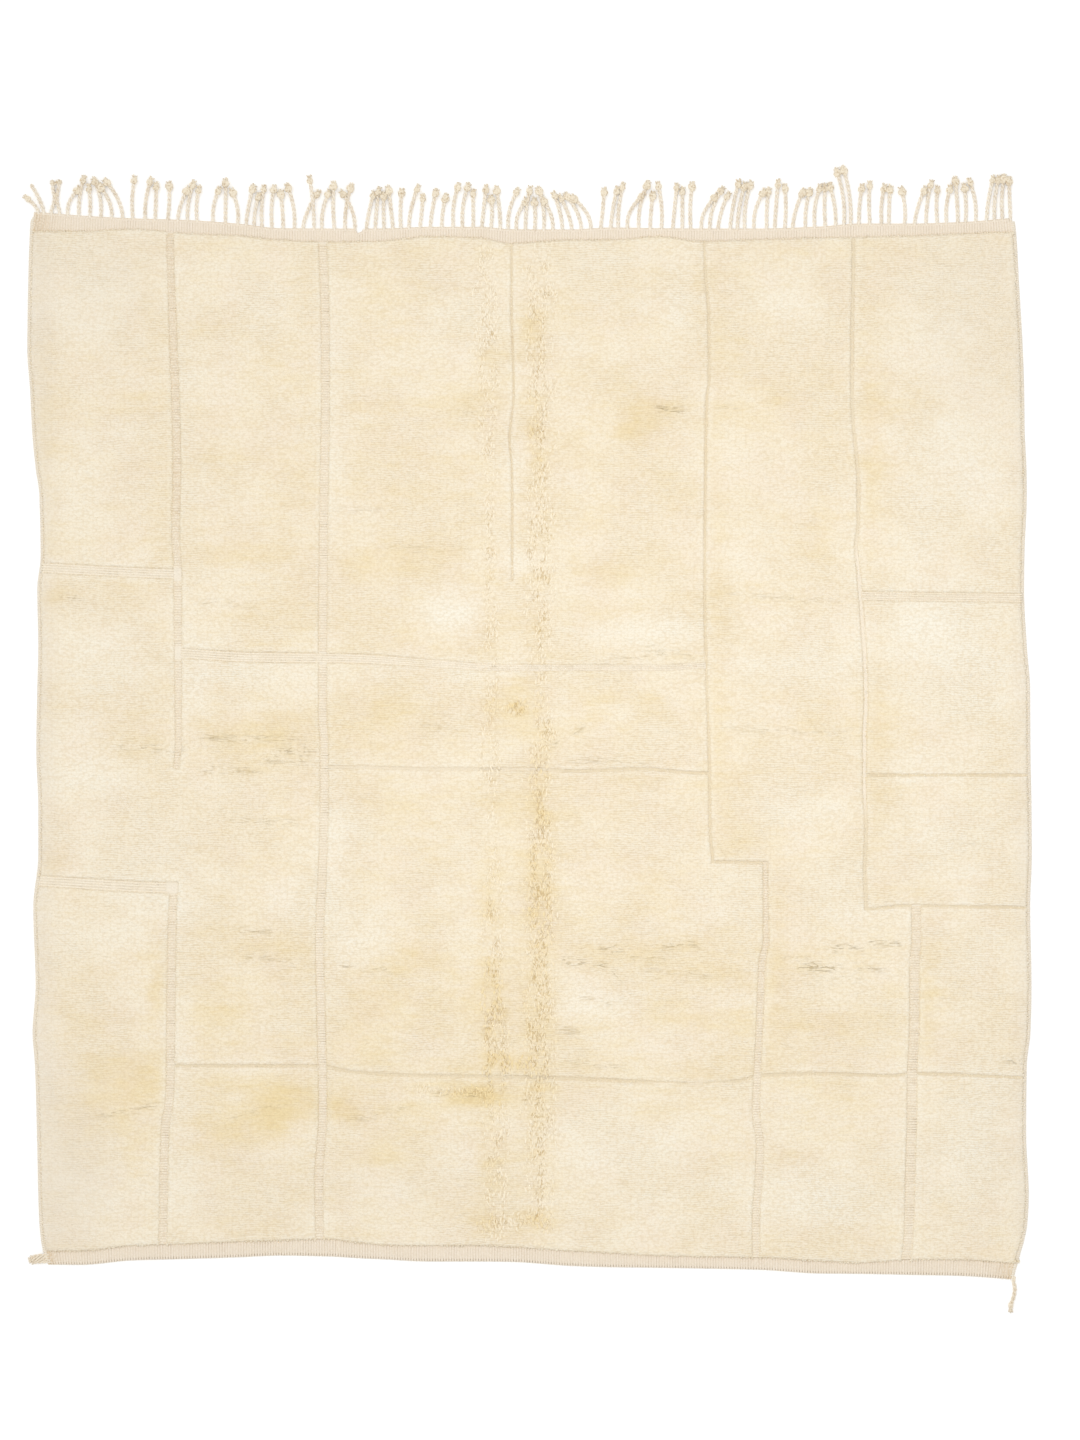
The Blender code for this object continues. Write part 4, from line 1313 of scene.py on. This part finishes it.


# ---------------------------------------------------------------------------------------------
# Loose tufts of pile. Down the ruffled strips the knots' cut ends lean every way and part, with
# the foot of the pile showing between in cast and painted shade. They are the pile's own wool.

TUFT_RINGS = (
    TuftRing(-3.0, 1.8, -3.0, 1.3), TuftRing(2.0, 2.9, -2.0, 2.3),
    TuftRing(8.0, 2.6, -1.5, 2.1), TuftRing(12.0, 1.3, -1.0, 1.1),
)
TUFT_SECTION = ((-1.0, 0.0), (1.0, 0.0), (0.75, 0.75), (0.0, 1.0), (-0.75, 0.75))
TUFT_SPACING = 10.5
TUFT_LEAN = 0.5
MOST_TUFTS = 32000.0
FULLY_LOOSE = 0.35
LEFT_HEADING_UP = 0.6


def strewing_tree(name):
    """Geometry Nodes that strew tufts over a surface, as thickly as its loose share asks."""
    tree = Growth(name, shapes=["Tuft"], sizes=["Spacing", "Lean"])
    loose = tree.stored("loose")
    strewn = tree.node("GeometryNodeDistributePointsOnFaces", {"distribute_method": "POISSON"}, {
        "Mesh": tree.asked("Geometry"), "Distance Min": tree.asked("Spacing"),
        "Density Max": MOST_TUFTS, "Density Factor": tree.share_of(loose, 0.0, FULLY_LOOSE),
        "Seed": tree.asked("Seed"),
    }, "Points")
    about = tree.random(-1.0, 1.0, 1) * tree.asked("Lean")
    heading = about + (tree.random(0.0, 1.0, 2) > LEFT_HEADING_UP) * math.pi
    turn = tree.node("ShaderNodeCombineXYZ", {}, [tree.random(-0.05, 0.14, 3), 0.0, heading])
    size = tree.node("ShaderNodeCombineXYZ", {}, [
        tree.random(0.75, 1.25, 4), tree.random(0.65, 1.25, 5),
        tree.random(0.8, 1.1, 6) * (loose * 0.7 + 0.3),
    ])
    return tree.finished(tree.copies(strewn, "Tuft", turn, size))


def loose_finish():
    """The loose tufts: the pile's own wool, with fine hair along every tuft and painted shade
    between the hairs.
    """
    tree = Wool("loose_tuft_finish", roughness=0.95, sheen=0.15)
    tone_here = tree.mark("tone") + (tree.speckle(90.0) - 0.5) * 0.9
    colour = tree.tint(tree.soft_step(tone_here, 0.0, 1.0), CREAM_WOOL, GOLDEN_WOOL)
    colour = tree.tint(tree.soft_step(0.0 - tone_here, 0.0, 0.8), colour, PALE_WOOL)
    hair = tree.speckle(900.0, place=tree.squeezed((1.0, 0.35, 1.0)))
    # Painted shade between the hairs.
    colour = tree.tint(tree.soft_step(hair, 0.5, 0.8) * 0.12, colour, GAP_SHADE_WOOL)
    return tree.finished(colour, hair * 0.001, 0.5)


loose_share = np.where(pile_share > 0.9, np.clip(ruffle * 1.5, 0, 1), 0)
loose_share = np.where(loose_share < 0.1, 0, loose_share)
loose_squares = np.argwhere((loose_share[:-1, :-1] + loose_share[1:, 1:]) > 0)
loose_pile = net_part("loose_pile", loose_squares, {
    "loose": loose_share, "tone": net_marks["tone"],
})
loose_shape = shape_to_copy("loose_shape", tuft_rings(TUFT_RINGS, TUFT_SECTION, MM))
add_piece(
    grown("loose_tufts", loose_pile, strewing_tree("strew_tufts"), {
        "Tuft": loose_shape, "Spacing": TUFT_SPACING * MM, "Lean": TUFT_LEAN, "Seed": 21,
        "Material": loose_finish(),
    }),
)


# ---------------------------------------------------------------------------------------------
# The knotted fringe. The warp's ends are twisted in pairs into cords, and each cord ends in an
# overhand knot with a small tuft. Their roots are fused in a narrow strip on the cloth's edge.

PLY_RADIUS = 3.2
PLY_OFFSET = 3.1
PLY_SIDES = 6
ROOT_SHARE = 0.42
ROOT_FROM = 5.0
ROOT_TO = 17.0
TWIST_PITCH = 28.0
CORD_STEP = 3.8
CORD_MIDDLE = PLY_RADIUS + PLY_OFFSET + 1.0
ROOT_DEPTH = 6.0
ROOT_MIDDLE = 4.0
CORD_SAMPLES = 14
CORD_LEAN = 2.0
FIRST_CORDS = 2
FIRST_LEAN = 1.15
CORD_SWAY = 3.0
OVER_LIFT = 8.8
KNOT_LONG = 13.8
KNOT_WIDE = 12.8
KNOT_TALL = 11.6
KNOT_MIDDLE = 11.2
CORD_WOOL = (0.92, 0.845, 0.72, 1.0)
CORD_SHADE = (0.64, 0.51, 0.36, 1.0)
KNOT_WOOL = (0.89, 0.80, 0.64, 1.0)
KNOT_SHADE = (0.55, 0.41, 0.25, 1.0)

# Bunches from left to right: the roots of the first and last strand, how many there are, the first
# and last knot, the line the knots lie on, and how far every other knot stands off that line.
Bunch = namedtuple("Bunch", "root_from root_to strands knot_from knot_to knot_line stagger")
BUNCHES = [Bunch(*row) for row in (
    (-1468, -1452, 2, -1500, -1490, 1652, -21), (-1430, -1404, 2, -1427, -1405, 1675, 3),
    (-1380, -1215, 6, -1364, -1250, 1672, -12), (-1185, -1185, 1, -1181, -1181, 1682, 0),
    (-1148, -1118, 2, -1136, -1112, 1675, 8), (-1080, -1080, 1, -1075, -1075, 1665, 0),
    (-1050, -992, 3, -1028, -983, 1663, -4), (-944, -870, 3, -935, -878, 1664, -12),
    (-845, -797, 3, -830, -788, 1647, 8), (-767, -700, 3, -768, -712, 1652, 7),
    (-674, -641, 2, -630, -656, 1665, -17), (-617, -580, 2, -602, -580, 1657, -11),
    (-548, -518, 2, -529, -555, 1654, 6), (-484, -404, 4, -470, -410, 1645, -10),
    (-380, -380, 1, -378, -378, 1650, 0), (-356, -323, 2, -334, -312, 1645, 10),
    (-292, -257, 2, -280, -243, 1638, 5), (-223, -223, 1, -210, -210, 1665, 0),
    (-195, -163, 2, -183, -161, 1655, 6), (-137, -82, 3, -129, -88, 1642, 12),
    (-58, -58, 1, -34, -34, 1648, 0), (-33, 76, 5, -16, 58, 1637, -13),
    (105, 190, 4, 75, 148, 1634, 7), (220, 220, 1, 230, 230, 1652, 0),
    (250, 272, 2, 265, 287, 1658, -5), (300, 402, 4, 334, 400, 1654, -12),
    (436, 465, 2, 445, 467, 1658, 4), (490, 490, 1, 494, 494, 1663, 0),
    (522, 572, 3, 556, 604, 1645, -6), (608, 652, 3, 628, 672, 1669, 6),
    (680, 718, 2, 704, 725, 1648, -5), (742, 772, 2, 749, 776, 1666, 7),
    (796, 834, 2, 822, 848, 1648, 3), (862, 925, 3, 872, 914, 1662, 3),
    (950, 970, 2, 928, 953, 1711, 0), (995, 1028, 2, 1000, 1030, 1665, 0),
    (1063, 1085, 2, 1067, 1090, 1660, 3), (1132, 1132, 1, 1125, 1125, 1650, 0),
    (1162, 1230, 3, 1185, 1235, 1663, -5), (1258, 1292, 2, 1265, 1287, 1669, -13),
    (1315, 1345, 2, 1310, 1332, 1670, -5), (1378, 1450, 4, 1390, 1452, 1687, 4),
)]

# How far the knots of a bunch draw together, and how unevenly far out they lie.
GATHER = 0.8
SCATTER = 4.5

# Strands that end another way: one is bare, and two are tied together part way and flare beyond.
BARE = 2
TIE_X = {3: -1420.0, 4: -1413.0}
TIE = Spot((-1416.5, 1642.0, 8.2), (10.5, 8.0, 9.0), 0.3)

# The tuft beyond a knot and beyond the tie: how many fibres, their reach, the angle between them,
# and how far past the end of the cord they start. Here and below, sines of a strand's number make
# sizes and turns uneven in the same way each time.
Tuft = namedtuple("Tuft", "fibres reach fan start")
KNOT_TUFT = Tuft(9, 12.5, 0.16, KNOT_LONG * 0.35)
FLARED_TUFT = Tuft(9, 15.0, 0.22, -2.0)
FIBRE_WIDE = 4.0
FIBRE_TALL = 4.4
FIBRE_MIDDLE = 7.2

Strand = namedtuple("Strand", "root knot line over")
strands = []
for bunch in BUNCHES:
    for k in range(bunch.strands):
        share = k / max(1, bunch.strands - 1)
        drawn = 0.5 + (share - 0.5) * GATHER
        stagger = bunch.stagger * (1 if k % 2 == 0 else -1)
        strands.append(Strand(
            bunch.root_from + (bunch.root_to - bunch.root_from) * share,
            bunch.knot_from + (bunch.knot_to - bunch.knot_from) * drawn,
            bunch.knot_line + stagger + SCATTER * math.sin(2.6 * len(strands)),
            k > 0 and bunch.knot_to < bunch.knot_from,
        ))


def cord_path(number, strand):
    """The middle line of one cord, from inside the strip to the middle of its knot."""
    start = fringe_line(strand.root)
    lean = FIRST_LEAN if number <= FIRST_CORDS else CORD_LEAN
    points = [(strand.root, start - ROOT_DEPTH, ROOT_MIDDLE)]
    for k in range(1, CORD_SAMPLES + 1):
        share = k / CORD_SAMPLES
        bow = math.sin(math.pi * share)
        over = OVER_LIFT * min(1.0, 3.2 * bow ** 2) * strand.over
        x = strand.root + (strand.knot - strand.root) * share ** lean
        x += CORD_SWAY * bow * math.sin(number)
        if number in TIE_X:
            x += (TIE_X[number] - x) * bow ** 2
        points.append((x, start + (strand.line - start) * share, CORD_MIDDLE + over))
    return points


def plying_tree(name):
    """Geometry Nodes that twist two plies of yarn round every line of a mesh."""
    tree = Growth(name, sizes=[
        "Ply Radius", "Ply Offset", "Twist Pitch", "Root Share", "Root From", "Root To", "Step",
    ])
    lines = tree.node("GeometryNodeMeshToCurve", {}, {"Mesh": tree.asked("Geometry")})
    values = {"Curve": lines, "Length": tree.asked("Step")}
    lines = tree.node("GeometryNodeResampleCurve", {"mode": "LENGTH"}, values)
    along = tree.node("GeometryNodeSplineParameter", output="Length")
    which = tree.node("GeometryNodeCurveOfPoint", output="Curve Index")
    values = {2: 0.0, 3: 2 * math.pi, "ID": which, "Seed": tree.asked("Seed")}
    phase = tree.node("FunctionNodeRandomValue", {"data_type": "FLOAT"}, values, 1)
    turned = along * (2 * math.pi) / tree.asked("Twist Pitch") + phase
    side = tree.vector("CROSS_PRODUCT", tree.node("GeometryNodeInputTangent"), (0, 0, 1))
    side = tree.node("ShaderNodeVectorMath", {"operation": "NORMALIZE"}, [side])
    values = {"Geometry": lines, "Name": "along", "Value": along}
    lines = tree.node("GeometryNodeStoreNamedAttribute", {"data_type": "FLOAT"}, values)
    swelling = tree.share_of(along, tree.asked("Root From"), tree.asked("Root To"))
    swelling = tree.asked("Root Share") + swelling * (1.0 - tree.asked("Root Share"))
    lines = tree.node("GeometryNodeSetCurveRadius", {}, {"Curve": lines, "Radius": swelling})
    values = {"Resolution": PLY_SIDES, "Radius": tree.asked("Ply Radius")}
    round_ply = tree.node("GeometryNodeCurvePrimitiveCircle", {"mode": "RADIUS"}, values)
    plies = []
    for opposite in (0.0, math.pi):
        angle = turned + opposite
        sideways = angle.cosine() * tree.asked("Ply Offset") * swelling
        upwards = angle.sine() * tree.asked("Ply Offset") * swelling
        rise = tree.node("ShaderNodeCombineXYZ", {}, [0.0, 0.0, upwards])
        offset = tree.vector("ADD", tree.scaled(side, sideways), rise)
        moved = tree.node("GeometryNodeSetPosition", {}, {"Geometry": lines, "Offset": offset})
        values = {"Curve": moved, "Profile Curve": round_ply, "Fill Caps": True}
        plies.append(tree.node("GeometryNodeCurveToMesh", {}, values))
    both = tree.node("GeometryNodeJoinGeometry")
    for ply in plies:
        tree.links.new(ply.socket, both.socket.node.inputs[0])
    return tree.finished(tree.node("GeometryNodeSetShadeSmooth", {}, {"Geometry": both}))


ply_cords = plying_tree("ply_cords")


def plied(name, paths, seed, material):
    """Cords of twisted yarn along paths."""
    edges = []
    start = 0
    for path in paths:
        edges += [(start + k, start + k + 1) for k in range(len(path) - 1)]
        start += len(path)
    lines = mesh_of(name + "_lines", [point for path in paths for point in path], edges=edges)
    return grown(name, lines, ply_cords, {
        "Ply Radius": PLY_RADIUS * MM, "Ply Offset": PLY_OFFSET * MM,
        "Twist Pitch": TWIST_PITCH * MM, "Root Share": ROOT_SHARE, "Root From": ROOT_FROM * MM,
        "Root To": ROOT_TO * MM, "Step": CORD_STEP * MM, "Seed": seed, "Material": material,
    })


def cord_finish(name, colour, shade, fleck, spots):
    """Twisted wool yarn: fine fibres, painted shade low down between its plies, darker spots."""
    tree = Wool(name, roughness=0.9, sheen=0.15)
    # Painted shade: darker low down, towards the floor and between the plies.
    low = 1.0 - tree.soft_step(tree.part("Z"), 0.002, 0.008)
    fibres = tree.speckle(fleck, 3.0, 0.65)
    tinted = tree.tint(low * 0.2 + tree.soft_step(fibres, 0.5, 0.75) * 0.2, colour, shade)
    cloud = tree.soft_step(tree.speckle(30.0), 0.45, 0.75)
    tinted = tree.tint(cloud * 0.3, tinted, shade)
    spotted = tree.soft_step(tree.speckle(190.0), 0.52, 0.68)
    return tree.finished(tree.tint(spotted * spots, tinted, shade), fibres * 0.0012, 0.6)


cord_wool = cord_finish("fringe_cord_finish", CORD_WOOL, CORD_SHADE, 420.0, 0.5)
knot_wool = cord_finish("fringe_knot_finish", KNOT_WOOL, KNOT_SHADE, 300.0, 0.8)
fringe_paths = [cord_path(number, strand) for number, strand in enumerate(strands, start=1)]
add_piece(plied("fringe_cords", fringe_paths, 31, cord_wool), "fringe_top")

# The overhand knot is one closed loop of cord that runs round itself. The tuft's fibres are slim
# wedges: at each place along one, half its width below and above, its underside and its top.
KNOT_TURNS = 20
KNOT_SIDES = 6
KNOT_SPREAD = 0.54
KNOT_CORD = 0.4
Wedge = namedtuple("Wedge", "along low_half high_half low high")
WEDGES = (
    Wedge(0.0, 0.35, 0.3, -0.35, 0.3), Wedge(0.55, 0.5, 0.4, -0.45, 0.4),
    Wedge(1.0, 0.3, 0.2, -0.3, 0.2),
)


def knot_loop(t):
    """The middle of the knot's cord, at an angle round the knot."""
    reach = 2.0 + math.cos(3 * t)
    return Vector((reach * math.cos(2 * t), reach * math.sin(2 * t), 1.5 * math.sin(3 * t))) / 3.0


def knot_ring(t):
    """The ring of points round the knot's cord, at an angle round the knot."""
    centre = knot_loop(t)
    ahead = (knot_loop(t + 0.01) - centre).normalized()
    out = ahead.cross(Vector((0, 0, 1))).normalized()
    up = out.cross(ahead)
    angles = [2 * math.pi * side / KNOT_SIDES for side in range(KNOT_SIDES)]
    return [
        centre * KNOT_SPREAD + (out * math.cos(angle) + up * math.sin(angle)) * KNOT_CORD
        for angle in angles
    ]


knot_shape = shape_to_copy(
    "knot_shape", [knot_ring(2 * math.pi * k / KNOT_TURNS) for k in range(KNOT_TURNS)], closed=True
)
tuft_shape = shape_to_copy("tuft_shape", [
    [
        (-ring.low_half, ring.along, ring.low), (ring.low_half, ring.along, ring.low),
        (ring.high_half, ring.along, ring.high), (-ring.high_half, ring.along, ring.high),
    ]
    for ring in WEDGES
])

knot_spots = []
tuft_spots = []
for number, (strand, path) in enumerate(zip(strands, fringe_paths), start=1):
    if number == BARE:
        continue
    ahead = Vector(path[-1]) - Vector(path[-3])
    heading = math.atan2(-ahead.x, ahead.y)
    ahead = Vector((ahead.x, ahead.y)).normalized()
    tuft = FLARED_TUFT if number in TIE_X else KNOT_TUFT
    if number not in TIE_X:
        swell = 1.0 + 0.14 * math.sin(5.1 * number)
        turn = heading + 0.9 * math.sin(3.3 * number)
        knot_spots.append(Spot(
            (strand.knot, strand.line, KNOT_MIDDLE),
            (KNOT_WIDE * swell, KNOT_LONG * swell, KNOT_TALL),
            (0.15 * math.sin(2.3 * number), 0.25 * math.sin(1.9 * number), turn),
        ))
    start = ahead * tuft.start
    for k in range(tuft.fibres):
        fan = (k - (tuft.fibres - 1) / 2) * tuft.fan + 0.12 * math.sin(7.7 * number + k)
        up = FIBRE_MIDDLE + 2.2 * math.sin(2.9 * number + 1.7 * k)
        reach = tuft.reach + 3.0 * math.sin(4.3 * number + 2.1 * k)
        tuft_spots.append(Spot(
            (strand.knot + start.x, strand.line + start.y, up), (FIBRE_WIDE, reach, FIBRE_TALL),
            (0.06 * math.sin(k + number), 0.0, heading + fan),
        ))
knot_spots.append(TIE)
for mesh in (
    laid("fringe_knots", knot_spots, knot_shape, knot_wool, 0.06, 32),
    laid("fringe_tufts", tuft_spots, tuft_shape, knot_wool, 0.12, 33),
):
    add_piece(mesh, "fringe_top")

# The strip that the roots are fused in: a low bar along the cloth's edge. Its section is how far
# each corner lies back from its front, and how high.
STRIP_FROM = -1482
STRIP_TO = 1457
STRIP_STEP = 12.0
STRIP_SECTION = (
    (STRIP_DEPTH, 0.0), (0.0, 0.0), (0.0, 4.2), (2.2, 6.3), (5.0, 6.8), (7.0, 6.5),
    (STRIP_DEPTH, GROUND_HEIGHT),
)
strip_rings = [
    [Vector((x, fringe_line(x) - back, up)) * MM for back, up in STRIP_SECTION]
    for x in np.arange(STRIP_FROM, STRIP_TO, STRIP_STEP)
]
strip = loft("fringe_root_strip", strip_rings, smooth=False)
strip.materials.append(band_wool)
add_piece(strip, "fringe_top")


# ---------------------------------------------------------------------------------------------
# The loose ends at the lower corners. On the right one warp cord hangs off with its own knot and
# tuft; on the left the band's end is a short blunt bundle of felted yarns.

RIGHT_END = (
    (1463, -1604, 3.6), (1458, -1620, 6.2), (1464, -1634, 6.2), (1462.5, -1648, 6.2),
    (1461, -1661, 6.2), (1457, -1672, 6.2), (1452, -1686, 6.2),
)
RIGHT_KNOT = (1450.5, -1691)
RIGHT_TUFT = (1450, -1697)
LEFT_YARNS = (
    ((-1438, -1538, 4.0), (-1452, -1540, 6.2), (-1468, -1541, 6.4), (-1484, -1545, 6.2)),
    ((-1438, -1545, 4.0), (-1454, -1546, 6.2), (-1470, -1547, 6.6), (-1490, -1551, 6.2)),
    ((-1438, -1552, 4.0), (-1453, -1553, 6.2), (-1470, -1553, 6.4), (-1488, -1557, 6.2)),
    ((-1440, -1559, 4.0), (-1455, -1559, 6.2), (-1468, -1559, 6.2), (-1481, -1560, 6.2)),
)
END_WOOL = (0.87, 0.78, 0.63, 1.0)
END_SHADE = (0.58, 0.45, 0.30, 1.0)


def fan_spots(knot, heading, count, reach, spread, base):
    """Spots of a tuft's fibres, fanned out from a knot."""
    spots = []
    for k in range(count):
        fan = (k - (count - 1) / 2) * spread / count + 0.15 * math.sin(9.1 * k)
        spots.append(Spot(
            (knot[0], knot[1], base + 1.2 * math.sin(3.7 * k)),
            (4.6, reach * (1 + 0.2 * math.sin(5.3 * k)), 5.0),
            (0.06 * math.sin(2.0 * k), 0.0, heading + fan),
        ))
    return spots


end_wool = cord_finish("loose_end_finish", END_WOOL, END_SHADE, 300.0, 0.4)
right_knot = [Spot((*RIGHT_KNOT, 9.6), (9.5, 12.0, 10.0), (0.2, 0.3, 0.3))]
right_tuft = fan_spots(RIGHT_TUFT, math.pi, 7, 14.0, 1.1, 4.4)
for mesh in (
    plied("right_end_cord", [RIGHT_END], 41, end_wool),
    laid("right_end_knot", right_knot, knot_shape, end_wool, 0.0, 42),
    laid("right_end_tuft", right_tuft, tuft_shape, end_wool, 0.08, 43),
):
    add_piece(mesh, "corner_tail_right")
left_tuft = []
for yarn in LEFT_YARNS:
    left_tuft += fan_spots(yarn[-1], QUARTER + 0.15, 4, 11.0, 1.3, 4.6)
for mesh in (
    plied("left_end_yarns", LEFT_YARNS, 41, end_wool),
    laid("left_end_tuft", left_tuft, tuft_shape, end_wool, 0.1, 44),
):
    add_piece(mesh, "corner_tail_left")


# ---------------------------------------------------------------------------------------------
# Floor, light and camera: a plain white studio floor under soft light, seen from straight above
# through a long lens.

WHITE = (1.0, 1.0, 1.0, 1.0)
FLOOR_REACH = 40.0
FLOOR_DROP = 0.0005
CAMERA_HEIGHT = 14.0
VIEW_HEIGHT = 4.32
VIEW_CENTRE = (0.0375, 0.0675)
FILM_HEIGHT = 24.0

corners = ((-1, -1), (1, -1), (1, 1), (-1, 1))
floor_mesh = bpy.data.meshes.new("studio_floor")
floor_mesh.from_pydata(
    [(x * FLOOR_REACH, y * FLOOR_REACH, -FLOOR_DROP) for x, y in corners], [], [(0, 1, 2, 3)]
)
placed("studio_floor", floor_mesh)
floor_paint = bpy.data.materials.new("studio_floor_paint")
floor_paint.use_nodes = True
set_values(floor_paint.node_tree.nodes["Principled BSDF"], {
    "Base Color": WHITE, "Roughness": 1.0, "Specular IOR Level": 0.0, "Emission Color": WHITE,
    "Emission Strength": 0.07,
})
floor_mesh.materials.append(floor_paint)

world = bpy.data.worlds.new("studio")
world.use_nodes = True
set_values(world.node_tree.nodes["Background"], {"Color": WHITE, "Strength": 0.80})
bpy.context.scene.world = world

sun = bpy.data.lights.new("soft_key", "SUN")
sun.angle = math.radians(50)
sun.energy = 0.66
key = placed("soft_key", sun)
key.rotation_euler = Vector((0.5, -0.4, -2.0)).to_track_quat("-Z", "Y").to_euler()

overhead = bpy.data.lights.new("soft_overhead", "AREA")
overhead.size = 1.6
overhead.energy = 10.5
lamp = placed("soft_overhead", overhead)
lamp.location = (0.35, 0.25, 2.6)
lamp.visible_camera = False

lens = bpy.data.cameras.new("camera")
lens.sensor_fit = "VERTICAL"
lens.sensor_height = FILM_HEIGHT
lens.lens = FILM_HEIGHT * CAMERA_HEIGHT / VIEW_HEIGHT
lens.clip_end = 200.0
camera = placed("camera", lens)
camera.location = (*VIEW_CENTRE, CAMERA_HEIGHT + PILE_HEIGHT * MM)
bpy.context.scene.camera = camera
bpy.context.scene.view_settings.view_transform = "Standard"
